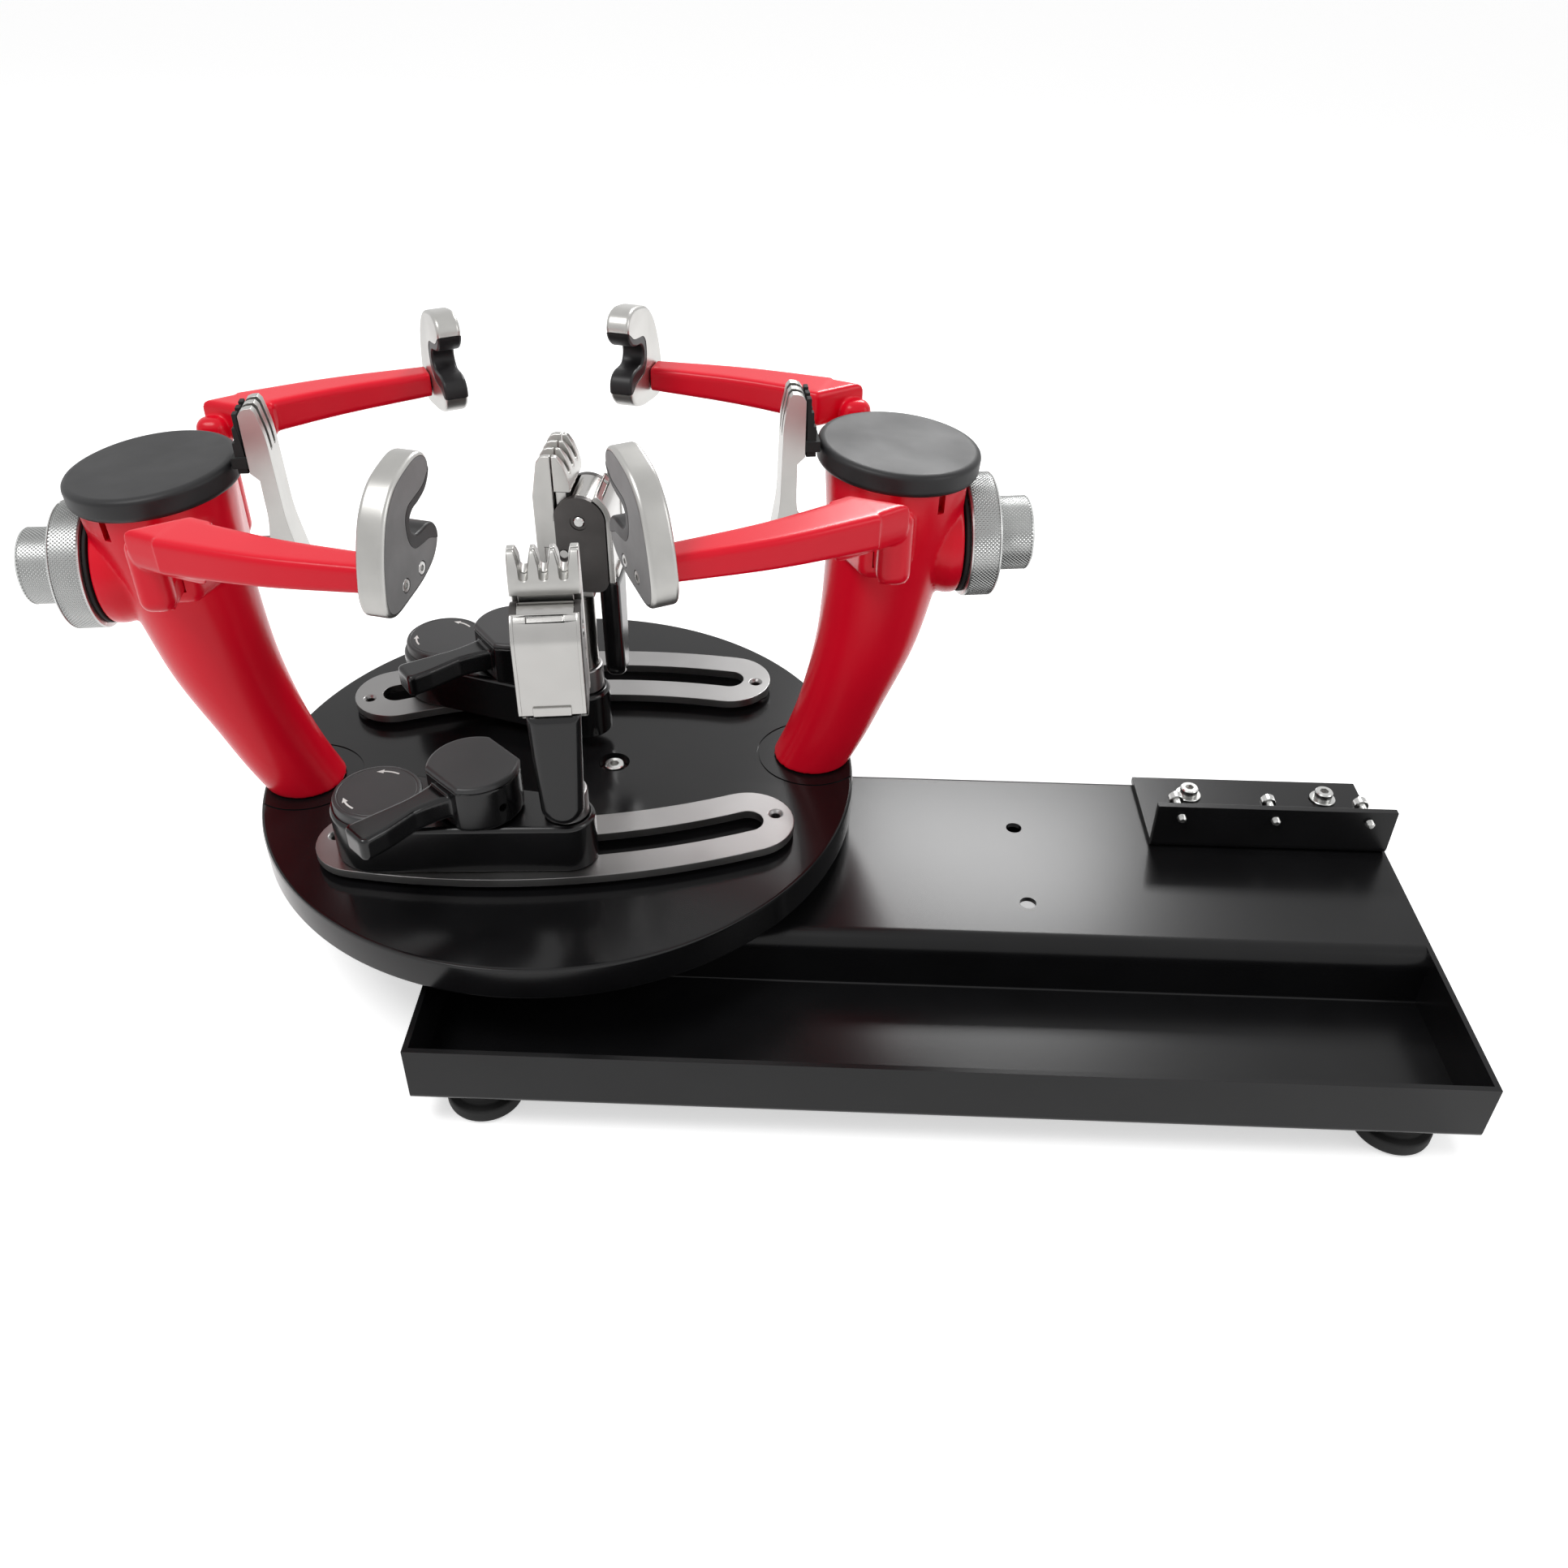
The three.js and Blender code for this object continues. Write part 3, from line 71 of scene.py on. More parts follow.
def turned_z(degrees):
    return Matrix.Rotation(radians(degrees), 4, "Z")


tray_low, tray_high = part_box("base_tray")
tray_middle = (tray_low + tray_high) / 2
BASE = shifted(tray_middle.x, tray_middle.y) @ scaled(MM, MM, MM)
TABLE_TOP, TABLE_TURN = 76.0, 7.35
table_x, table_y = JOINTS["turntable_turn"]["pos_m"][:2]
TABLE = shifted(table_x, table_y) @ scaled(MM, MM, MM) @ shifted(0, 0, TABLE_TOP) @ turned_z(TABLE_TURN)
HEADS = {"right": TABLE, "left": TABLE @ scaled(-1, 1, 1)}
# x is the carriage's place along its track; the others are turns of the base, the lock lever and the head
CLAMPS = {
    "front": {"side": -1, "x": -80.0, "base": -10.0, "lock": -131.0, "head": -170.0},
    "rear": {"side": 1, "x": -62.0, "base": -31.4, "lock": -119.2, "head": -68.6},
}


# Meshes from lists of corners and faces, as throw-away objects in millimetres
def solid(verts, faces, name="form"):
    mesh = bpy.data.meshes.new(name)
    mesh.from_pydata([tuple(v) for v in verts], [], faces)
    mesh.update()
    form = bpy.data.objects.new(name, mesh)
    scene.collection.objects.link(form)
    work = bmesh.new()
    work.from_mesh(mesh)
    bmesh.ops.remove_doubles(work, verts=work.verts, dist=WELD)
    bmesh.ops.recalc_face_normals(work, faces=work.faces)
    work.to_mesh(mesh)
    work.free()
    return form


def loft(rings):
    count = len(rings[0])
    verts = [corner for ring in rings for corner in ring]
    faces = []
    for k in range(len(rings) - 1):
        for i in range(count):
            a, b = k * count + i, k * count + (i + 1) % count
            faces.append((a, b, b + count, a + count))
    last = (len(rings) - 1) * count
    faces.append(tuple(reversed(range(count))))
    faces.append(tuple(range(last, last + count)))
    return solid(verts, faces)


def lathe(profile, count, axis="Z"):
    """Turns (radius, height) pairs about Z, or about X with the height along X."""
    verts, faces, rows = [], [], []
    for radius, height in profile:
        if radius < 1e-6:
            rows.append([len(verts)])
            verts.append((0.0, 0.0, height))
            continue
        rows.append(list(range(len(verts), len(verts) + count)))
        for i in range(count):
            angle = FULL * i / count
            verts.append((radius * cos(angle), radius * sin(angle), height))
    for low, high in zip(rows, rows[1:]):
        for i in range(count):
            j = (i + 1) % count
            face = [low[i % len(low)], low[j % len(low)], high[j % len(high)], high[i % len(high)]]
            corners = list(dict.fromkeys(face))
            if len(corners) > 2:
                faces.append(tuple(corners))
    form = solid(verts, faces)
    if axis == "X":
        form.data.transform(Matrix.Rotation(RIGHT_ANGLE, 4, "Y"))
    return form


def hollow(profile, count, axis="Z"):
    """Turns a closed outline that keeps clear of the axis."""
    return lathe([*profile, profile[0]], count, axis)


def ring_of(inner, outer, low, high, count):
    return hollow([(inner, low), (outer, low), (outer, high), (inner, high)], count)


# How a plane's two values and the third lie along X, Y and Z
PLANES = {"XY": lambda a, b, c: (a, b, c), "YZ": lambda a, b, c: (c, a, b), "XZ": lambda a, b, c: (a, c, b)}


def prism(outline, low, high, plane="XY"):
    """Pulls a plane outline between two values of the third axis."""
    place = PLANES[plane]
    return loft([[place(a, b, low) for a, b in outline], [place(a, b, high) for a, b in outline]])


def brick(low, high):
    corners = [(low[0], low[1]), (high[0], low[1]), (high[0], high[1]), (low[0], high[1])]
    return prism(corners, low[2], high[2])


def rod(radius, low, high, count=48, axis="Z", at=(0.0, 0.0)):
    """A cylinder along an axis, at a place in the plane across it."""
    form = lathe([(0, low), (radius, low), (radius, high), (0, high)], count)
    if axis == "X":
        form.data.transform(shifted(0, *at) @ Matrix.Rotation(RIGHT_ANGLE, 4, "Y"))
    elif axis == "Y":
        form.data.transform(shifted(at[0], 0, at[1]) @ Matrix.Rotation(-RIGHT_ANGLE, 4, "X"))
    else:
        form.data.transform(shifted(*at))
    return form


def moved(form, x, y, z=0.0):
    form.data.transform(shifted(x, y, z))
    return form


def hexagon(radius, low, high):
    return rod(radius, low, high, 6)


def polar(x, y, radius, degrees):
    return (x + radius * cos(radians(degrees)), y + radius * sin(radians(degrees)))


def arc(x, y, radius, start, end, count):
    """Points of an arc, angles in degrees."""
    return [polar(x, y, radius, start + (end - start) * i / count) for i in range(count + 1)]


def settled(form):
    """Applies the form's modifiers."""
    graph = bpy.context.evaluated_depsgraph_get()
    mesh = bpy.data.meshes.new_from_object(form.evaluated_get(graph))
    form.modifiers.clear()
    form.data = mesh
    return form


def combined(form, others, operation, solver="EXACT"):
    for other in others:
        change = form.modifiers.new("change", "BOOLEAN")
        change.object, change.operation, change.solver = other, operation, solver
        settled(form)
        bpy.data.objects.remove(other)
    return form


def joined(form, *others):
    return combined(form, others, "UNION")


def cut(form, *others):
    return combined(form, others, "DIFFERENCE")


def merged(*forms):
    """Puts forms into one mesh as they are, each still closed."""
    work = bmesh.new()
    for form in forms:
        work.from_mesh(form.data)
    mesh = bpy.data.meshes.new("merged")
    work.to_mesh(mesh)
    work.free()
    forms[0].data = mesh
    for form in forms[1:]:
        bpy.data.objects.remove(form)
    return forms[0]


def bevelled(form, width, segments=2, angle=30):
    """Rounds the edges above an angle, once flat neighbours are joined."""
    cleaned = bmesh.new()
    cleaned.from_mesh(form.data)
    bmesh.ops.remove_doubles(cleaned, verts=cleaned.verts, dist=10 * WELD)
    bmesh.ops.dissolve_limit(cleaned, angle_limit=radians(1.0), verts=cleaned.verts, edges=cleaned.edges)
    cleaned.to_mesh(form.data)
    cleaned.free()
    edge = form.modifiers.new("edge", "BEVEL")
    edge.width, edge.segments, edge.limit_method = width, segments, "ANGLE"
    edge.angle_limit = radians(angle)
    return settled(form)


def melted(form, voxel, rounds):
    """One skin over overlapping forms, with its inner corners run together."""
    skin = form.modifiers.new("skin", "REMESH")
    skin.mode, skin.voxel_size, skin.use_smooth_shade = "VOXEL", voxel, True
    calm = form.modifiers.new("calm", "SMOOTH")
    calm.factor, calm.iterations = 0.5, rounds
    return settled(form)


def piece(form, name, body, material, nodes, place, sharp=35):
    """Finishes a form as a named piece in the frame, riding on its body."""
    form.data.transform(place)
    if place.determinant() < 0:
        form.data.flip_normals()
    form.data.materials.clear()
    form.data.materials.append(material)
    form.data.shade_smooth()
    form.data.set_sharp_from_angle(angle=radians(sharp))
    even = form.modifiers.new("even", "WEIGHTED_NORMAL")
    even.keep_sharp = True
    form.name = name
    form.data.name = name
    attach(form, body)
    if nodes:
        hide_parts(*nodes)


# Materials, all from nodes
NOISE_REACH, EDGE_REACH = (0.1, 0.9), (0.52, 0.6)
PAINT_DETAIL, SURFACE_DETAIL = 3.0, 2.0


def put(node, values):
    """Sets a node's inputs by name."""
    for name, value in values.items():
        node.inputs[name].default_value = value


def look(name, color, rough, mottle, smudge, grain=None, shine=0.5, metal=0.0, brush=None, edge_wear_and_highlight=None):
    """mottle and smudge are (scale, amount); grain is (scale, depth in mm); brush is (stretch, depth);
    wear is (colour, amount), a lighter colour on outer edges that is partly rubbed metal and partly painted
    highlight; shine is the strength of reflection on what is not metal."""
    made = bpy.data.materials.new(name)
    made.use_nodes = True
    nodes, links = made.node_tree.nodes, made.node_tree.links
    shader = nodes["Principled BSDF"]
    put(shader, {"Base Color": (*color, 1), "Roughness": rough})
    put(shader, {"Metallic": metal, "Specular IOR Level": shine})
    where = nodes.new("ShaderNodeTexCoord")

    def noise(scale, detail=PAINT_DETAIL, stretch=None):
        texture = nodes.new("ShaderNodeTexNoise")
        put(texture, {"Scale": scale, "Detail": detail})
        source = where.outputs["Object"]
        if stretch:
            mapping = nodes.new("ShaderNodeMapping")
            put(mapping, {"Scale": stretch})
            links.new(source, mapping.inputs["Vector"])
            source = mapping.outputs["Vector"]
        links.new(source, texture.inputs["Vector"])
        return texture.outputs["Fac"]

    def ranged(value, reach, low, high, curve="SMOOTHSTEP"):
        spread = nodes.new("ShaderNodeMapRange")
        spread.interpolation_type = curve
        put(spread, {"From Min": reach[0], "From Max": reach[1], "To Min": low, "To Max": high})
        links.new(value, spread.inputs["Value"])
        return spread.outputs["Result"]

    def mixed(factor, one, two):
        mix = nodes.new("ShaderNodeMix")
        mix.data_type = "RGBA"
        put(mix, {"A": (*one, 1), "B": (*two, 1)})
        links.new(factor, mix.inputs["Factor"])
        return mix

    dark = [c * (1 - mottle[1]) for c in color]
    light = [min(1, c * (1 + mottle[1])) for c in color]
    paint = mixed(ranged(noise(mottle[0]), NOISE_REACH, 0, 1), dark, light)
    # Outer edges take a lighter colour, partly rubbed metal and partly a painted highlight
    if edge_wear_and_highlight:
        pointed = nodes.new("ShaderNodeNewGeometry").outputs["Pointiness"]
        worn_and_highlit = mixed(ranged(pointed, EDGE_REACH, 0, edge_wear_and_highlight[1], "LINEAR"), color, edge_wear_and_highlight[0])
        links.new(paint.outputs["Result"], worn_and_highlit.inputs["A"])
        paint = worn_and_highlit
    links.new(paint.outputs["Result"], shader.inputs["Base Color"])
    patches = ranged(noise(smudge[0]), NOISE_REACH, rough - smudge[1], rough + smudge[1])
    links.new(patches, shader.inputs["Roughness"])
    height = None
    if grain:
        height = (noise(grain[0], SURFACE_DETAIL), grain[1])
    if brush:
        height = (noise(1.0, SURFACE_DETAIL, brush[0]), brush[1])
    if height:
        bump = nodes.new("ShaderNodeBump")
        put(bump, {"Distance": height[1] * MM, "Strength": 1.0})
        links.new(height[0], bump.inputs["Height"])
        links.new(bump.outputs["Normal"], shader.inputs["Normal"])
    return made


LOOK = {
    "coat": look("black_coat", (0.006, 0.006, 0.0065), 0.26, (30, 0.3), (5, 0.012), (700, 0.012), 0.24),
    "disc": look("disc_coat", (0.006, 0.006, 0.0065), 0.18, (25, 0.3), (6, 0.012), (1200, 0.006), 0.28),
    "red": look("red_gloss", (0.8, 0.004, 0.022), 0.255, (18, 0.04), (8, 0.012), (260, 0.01), 0.26),
    "cap": look("cap_soft_black", (0.012, 0.012, 0.013), 0.48, (60, 0.2), (40, 0.06), (2400, 0.02), 0.35),
    "rubber": look("rubber", (0.013, 0.013, 0.013), 0.7, (50, 0.25), (40, 0.08), (1800, 0.03), 0.3),
    "cast": look("cast_silver", (0.43, 0.424, 0.408), 0.34, (90, 0.06), (30, 0.03), (1500, 0.006), metal=1.0,
                 edge_wear_and_highlight=((0.62, 0.62, 0.6), 0.5)),
    # The grey of the hook's face plate is the silver face as it looks in shade: painted shade
    "lining": look("hook_lining", (0.21, 0.207, 0.208), 0.5, (70, 0.15), (60, 0.06), (2200, 0.01), 0.35),
    "notch": look("notch_lining", (0.013, 0.012, 0.013), 0.42, (70, 0.2), (60, 0.06), (1500, 0.01), 0.3),
    "steel": look("brushed_steel", (0.26, 0.255, 0.253), 0.36, (30, 0.05), (40, 0.05), metal=1.0,
                  brush=((40, 900, 900), 0.004)),
    "post": look("turned_steel", (0.42, 0.405, 0.385), 0.23, (40, 0.05), (60, 0.03), metal=1.0,
                 brush=((50, 50, 1400), 0.003)),
    # The knurl's ridges get a bright edge colour: partly polish, partly a painted highlight on the ridges
    "knob": look("zinc_knurl", (0.34, 0.345, 0.34), 0.36, (60, 0.08), (40, 0.03), metal=1.0,
                 edge_wear_and_highlight=((0.8, 0.81, 0.8), 1.0)),
    "gloss": look("gloss_black", (0.004, 0.004, 0.0045), 0.2, (30, 0.3), (30, 0.05), (500, 0.006), 0.4),
    "satin": look("satin_black", (0.022, 0.022, 0.023), 0.42, (40, 0.2), (20, 0.03), (1400, 0.01), 0.45),
    "chrome": look("brushed_chrome", (0.42, 0.413, 0.4), 0.22, (60, 0.05), (30, 0.03), metal=1.0,
                   brush=((1100, 1100, 50), 0.003)),
    "zinc": look("zinc", (0.5, 0.5, 0.49), 0.24, (200, 0.1), (160, 0.03), metal=1.0),
    "print": look("arrow_print", (0.7, 0.7, 0.68), 0.45, (300, 0.08), (200, 0.05)),
    "cheek": look("dark_cheek", (0.085, 0.08, 0.078), 0.36, (80, 0.12), (70, 0.05), metal=0.9),
}

SLOT_LOOK = {
    "black_coat": "coat", "rubber": "rubber", "red_paint": "red", "cap_plastic": "cap", "cast_silver": "cast",
    "hook_lining": "lining", "brushed_steel": "steel", "knob_steel": "knob", "gloss_plastic": "gloss",
    "clamp_chrome": "chrome", "zinc": "zinc",
}

# Every node gets its slot's material, and the pieces below take their nodes' places
SLOT_OF = {entry["node"]: entry["material_slot"] for entry in frame["record"]["subparts"]}
BODY_OF = {node: body for body, nodes in frame["record"]["behaviour"]["bodies"].items() for node in nodes}
for node, shape in frame["nodes"].items():
    shape.data.materials.clear()
    shape.data.materials.append(LOOK[SLOT_LOOK[SLOT_OF[node]]])


def dress(form, name, node, place, look_name=None, sharp=35):
    """A finer piece in place of the named node."""
    slot = SLOT_OF[node]
    piece(form, name, BODY_OF[node], LOOK[look_name or SLOT_LOOK[slot]], (node,), place, sharp)


def add(form, name, carrier, look_name, place, sharp=35):
    """A piece of the scene alone, on the body of the node that carries it."""
    piece(form, name, BODY_OF[carrier], LOOK[look_name], (), place, sharp)


# Curves that follow a list of points, uniform in length
def spline(points, count, closed=False, fineness=600):
    points = [Vector(p) for p in points]
    total = len(points)
    spans = total if closed else total - 1

    def pick(i):
        return points[i % total]

    def at(t):
        whole = min(int(t * spans), spans - 1)
        weight = t * spans - whole
        one, two = pick(whole), pick(whole + 1)
        before = pick(whole - 1) if closed or whole > 0 else 2 * one - two
        after = pick(whole + 2) if closed or whole + 2 < total else 2 * two - one
        d0 = (one - before).length ** 0.5 or 1.0
        d1 = (two - one).length ** 0.5 or 1.0
        d2 = (after - two).length ** 0.5 or 1.0
        m1 = ((one - before) / d0 - (two - before) / (d0 + d1) + (two - one) / d1) * d1
        m2 = ((two - one) / d1 - (after - one) / (d1 + d2) + (after - two) / d2) * d1
        c2 = -3 * one + 3 * two - 2 * m1 - m2
        c3 = 2 * one - 2 * two + m1 + m2
        return one + m1 * weight + c2 * weight ** 2 + c3 * weight ** 3

    fine = [at(i / fineness) for i in range(fineness + 1)]
    lengths = [0.0]
    for a, b in zip(fine, fine[1:]):
        lengths.append(lengths[-1] + (b - a).length)
    out, k = [], 0
    steps = count if closed else count - 1
    for i in range(count):
        goal = lengths[-1] * i / steps
        while k < fineness - 1 and lengths[k + 1] < goal:
            k += 1
        share = (goal - lengths[k]) / max(lengths[k + 1] - lengths[k], 1e-9)
        out.append(fine[k].lerp(fine[k + 1], share))
    return out


def plane_spline(points, count, closed=False):
    return [(p.x, p.y) for p in spline([(a, b, 0) for a, b in points], count, closed)]


# Tray: one folded sheet with welded ends
TRAY = {"length": 468, "depth": 210, "height": 31, "sheet": 2.5, "floor": 79, "return": 43}
FOOT_HEIGHT = 18
PLATE_TOP = FOOT_HEIGHT + TRAY["height"]
BEND = {"sharp": 1.2, "soft": 7}
PLATE_HOLES, PLATE_HOLE_RADIUS = ((47, 4), (46, 62)), 4.0
FOOT_X, FOOT_Y = 206, 85


def make_tray():
    half, sheet, top, low = TRAY["depth"] / 2, TRAY["sheet"], PLATE_TOP, FOOT_HEIGHT
    outer, soft = BEND["sharp"] + sheet, BEND["soft"] + sheet
    riser = TRAY["floor"] - half
    outline = [(-half, top)] + arc(outer - half, low + outer, outer, 180, 270, 6)
    outline += arc(half - outer, low + outer, outer, -90, 0, 6)
    outline += arc(half - outer, top - outer, outer, 0, 90, 6)
    fillet = BEND["sharp"]
    inside = [(sheet - half, top + OVERRUN)]
    inside += arc(sheet - half + fillet, low + sheet + fillet, fillet, 180, 270, 5)
    inside += arc(riser - fillet, low + sheet + fillet, fillet, -90, 0, 5)
    inside += arc(riser + soft, top - soft, soft, 180, 90, 14) + [(riser + soft, top + OVERRUN)]
    front, lip, roof = riser + sheet, half - TRAY["return"], top - sheet
    under = [(front, low - OVERRUN), (lip, low - OVERRUN), (lip, low + sheet), (half - sheet, low + sheet)]
    under.append((half - sheet, roof))
    under += arc(front + BEND["soft"], roof - BEND["soft"], BEND["soft"], 90, 180, 10)
    long, short = TRAY["length"] / 2, TRAY["length"] / 2 - sheet
    form = prism(outline, -long, long, "YZ")
    holes = [rod(PLATE_HOLE_RADIUS, top - OVERRUN, top + OVERRUN, 32, at=place) for place in PLATE_HOLES]
    form = cut(form, prism(inside, -short, short, "YZ"), prism(under, -short, short, "YZ"), *holes)
    dress(bevelled(form, 0.5, 2, 40), "tray", "base_tray", BASE, sharp=50)


def make_feet():
    profile = [(0, 0), (14.6, 0), (16.2, 0.4), (17.2, 1.3), (17.5, 2.6), (17.5, 6.6), (17.2, 7.4),
               (16.6, 7.9), (14.2, 8.2), (13.4, 8.7), (13, 9.6), (13, 17.4), (12.6, FOOT_HEIGHT),
               (0, FOOT_HEIGHT)]
    for row, y in (("front", -1), ("rear", 1)):
        for hand, x in (("left", -1), ("right", 1)):
            place = BASE @ shifted(x * FOOT_X, y * FOOT_Y)
            dress(lathe(profile, 64), f"rubber_foot_{row}_{hand}", f"foot_{row}_{hand}", place)


# Bracket at the right end, with its bolts in slots and its adjusting screws
BRACKET = {"length": 119, "depth": 56, "height": 27, "sheet": 3.5, "end": 1, "bend": 1, "slot": 3.5}
BRACKET_START = TRAY["length"] / 2 - BRACKET["end"] - BRACKET["length"]
BRACKET_FRONT = TRAY["depth"] / 2 - BRACKET["depth"]
BOLT = {"x": 27, "pitch": 71, "rear": 15}
SCREW = {"x": 12.5, "pitch": 46.8, "rise": 20.5, "hole": 2.25, "radius": 2.0, "core": 1.72, "thread": 0.8}
BOLT_Y = TRAY["depth"] / 2 - BOLT["rear"]
BOLT_PLACES = [(BRACKET_START + BOLT["x"] + i * BOLT["pitch"], BOLT_Y) for i in range(2)]
SCREW_PLACES = [BRACKET_START + SCREW["x"] + i * SCREW["pitch"] for i in range(3)]


def make_bracket():
    rear, front, low = TRAY["depth"] / 2, BRACKET_FRONT, PLATE_TOP
    sheet, bend, half = BRACKET["sheet"], BRACKET["bend"], BRACKET["slot"]
    outer, top = sheet + bend, low + BRACKET["height"]
    section = arc(front + outer, low + outer, outer, 180, 270, 8) + [(rear, low), (rear, low + sheet)]
    section += arc(front + outer, low + outer, bend, -90, -180, 5) + [(front + sheet, top), (front, top)]
    form = prism(section, BRACKET_START, BRACKET_START + BRACKET["length"], "YZ")
    tools = []
    for x, y in BOLT_PLACES:
        slot = arc(x - half, y, half, 90, 270, 12) + arc(x + half, y, half, -90, 90, 12)
        tools.append(prism(slot, low - OVERRUN, low + sheet + OVERRUN))
    for x in SCREW_PLACES:
        place = (x, low + SCREW["rise"])
        tools.append(rod(SCREW["hole"], front - OVERRUN, front + sheet + OVERRUN, 24, "Y", place))
    dress(bevelled(cut(form, *tools), 0.35, 2, 40), "bracket", "tension_bracket", BASE, sharp=50)


def screw_thread():
    profile = [(0, -3), (1.2, -3), (2, -2.2)]
    for k in range(19):
        z = -2.2 + SCREW["thread"] * k
        profile += [(SCREW["radius"], z + 0.1), (SCREW["core"], z + 0.4), (SCREW["radius"], z + 0.7)]
    return lathe(profile + [(SCREW["radius"], 13.2), (0, 13.2)], 32)


def make_fasteners():
    for i, (x, y) in enumerate(BOLT_PLACES, 1):
        head = lathe([(0, 1.1), (4.3, 1.1), (4.6, 1.4), (4.6, 5.0), (4.1, 5.6), (0, 5.6)], 48)
        cap = cut(head, hexagon(2.4, 2.9, 9))
        shank = rod(2.9, -12.8, 1.3, 24)
        washer = hollow([(2.9, 0), (6.4, 0), (6.6, 0.2), (6.6, 1.0), (6.4, 1.2), (2.9, 1.2)], 48)
        place = BASE @ shifted(x, y, PLATE_TOP + BRACKET["sheet"])
        dress(merged(cap, shank, washer), f"socket_bolt_{i}", f"bracket_bolt_{i}", place)
    for i, x in enumerate(SCREW_PLACES, 1):
        head = lathe([(0, 13), (3.3, 13), (3.6, 13.3), (3.6, 17), (3.1, 17.5), (0, 17.5)], 40)
        cap = cut(head, hexagon(1.9, 15, 20))
        turned = Matrix.Rotation(-RIGHT_ANGLE, 4, "X")
        place = BASE @ shifted(x, BRACKET_FRONT, PLATE_TOP + SCREW["rise"]) @ turned
        dress(merged(cap, screw_thread()), f"set_screw_{i}", f"adjusting_screw_{i}", place)


# Turntable disc, its hub and its tracks
DISC = {"radius": 150, "thickness": 18, "gap": 9, "boss": 34, "clear": 4}
HUB_X, MAST_FOOT_X = 26.5, 129.5


def make_disc():
    radius, boss, bottom = DISC["radius"], DISC["boss"], -DISC["thickness"]
    low = DISC["clear"] - DISC["gap"] - DISC["thickness"]
    profile = [(0, -9.7), (9.25, -9.7), (9.25, low), (boss, low), (boss, bottom), (radius - 1.8, bottom),
               (radius - 0.5, bottom + 0.6), (radius, bottom + 1.8), (radius, -1.8), (radius - 0.5, -0.6),
               (radius - 1.8, 0), (0, 0)]
    form = lathe(profile, 180)
    tools = [rod(8, -6, OVERRUN, 48, at=(HUB_X, 0)), rod(3.25, -25, OVERRUN, 24, at=(HUB_X, 0))]
    for side in (-1, 1):
        tools.append(moved(ring_of(27.5, 28.5, -0.5, 3, 96), side * MAST_FOOT_X, 0))
    dress(cut(form, *tools), "disc", "turntable_disc", TABLE, "disc", sharp=40)
    head = lathe([(0, -5.7), (4.6, -5.7), (5, -5.3), (5, -1.1), (4.6, -0.7), (0, -0.7)], 48)
    washer = hollow([(5.2, -5.95), (7.4, -5.95), (7.6, -5.7), (7.4, -5.5), (5.2, -5.5)], 48)
    form = merged(cut(head, hexagon(2.6, -3.7, 4)), washer, rod(2.9, -20.4, -5.6, 24))
    dress(form, "centre_bolt", "hub_bolt", TABLE @ shifted(HUB_X, 0))


TRACK = {"radius": 331, "apex": 76, "width": 45, "slot": 15, "end": 91, "hole": 105, "under": 3, "top": 7.5}
TRACK_CENTRE = TRACK["radius"] - TRACK["apex"]


def band(half, count=48):
    radius = TRACK["radius"]
    reach = math.degrees(math.asin(TRACK["end"] / radius))

    def tip(degrees):
        angle = radians(degrees)
        return (radius * sin(angle), TRACK_CENTRE - radius * cos(angle))

    outline = arc(0, TRACK_CENTRE, radius + half, -90 - reach, -90 + reach, count)
    outline += arc(*tip(reach), half, reach - 90, reach + 90, 20)[1:-1]
    outline += arc(0, TRACK_CENTRE, radius - half, -90 + reach, -90 - reach, count)
    return outline + arc(*tip(-reach), half, 90 - reach, 270 - reach, 20)[1:-1]


def make_tracks():
    hole_y = TRACK_CENTRE - sqrt(TRACK["radius"] ** 2 - TRACK["hole"] ** 2)
    for name, turn in (("front", 0), ("rear", 180)):
        tools, pads = [prism(band(TRACK["slot"] / 2), 0, 12)], []
        for x in (-TRACK["hole"], TRACK["hole"]):
            hole = lathe([(0, 0), (2.1, 0), (2.1, 6.1), (3.6, 7.6), (3.6, 12), (0, 12)], 32)
            tools.append(moved(hole, x, hole_y))
            pads.append(moved(ring_of(2.2, 7, 0.3, 3, 32), x, hole_y))
        form = cut(prism(band(TRACK["width"] / 2), TRACK["under"], TRACK["top"]), *tools)
        form = merged(bevelled(form, 0.45, 2, 40), *pads)
        dress(form, f"track_{name}", f"clamp_track_{name}", TABLE @ turned_z(turn), sharp=40)


make_tray()
make_feet()
make_bracket()
make_fasteners()
make_disc()
make_tracks()


# Heads: mast, cap, knobs, side arms with hooks, and the centre support
SHAFT_Z = 124.7
BAR = {"x": 154.0, "width": 12.0, "depth": 9.0, "reach": 9.0, "end": 14.0, "gap": 0.4}
BAR_LOW, BAR_HIGH = BAR["x"] - BAR["width"] / 2, BAR["x"] + BAR["width"] / 2
CAP = {"thick": 10.9, "x": 165.3, "top": 172.3, "tilt": 4.9}
CAP_PLACE = shifted(CAP["x"], 0, CAP["top"]) @ Matrix.Rotation(radians(CAP["tilt"]), 4, "Y")
MAST = {"radius": 20, "height": 170, "lean": 35.8, "girth": 14, "lift": 0.3, "sides": 96, "seat": 193.6}
MAST_HEIGHTS = (0, 0.1, 0.21, 0.412, 0.618, 0.72, 0.82, 0.92, 1)
MAST_LEANS = (0, 0.22, 0.413, 0.704, 0.863, 0.93, 0.98, 1, 1)
MAST_GIRTHS = (0, 0.04, 0.1, 0.329, 0.53, 0.68, 0.84, 0.96, 1)


def bar_span(side):
    near, far = SHAFT_Z - side * BAR["reach"], SHAFT_Z - side * (BAR["reach"] + BAR["depth"])
    return (near, far) if side < 0 else (far, near)


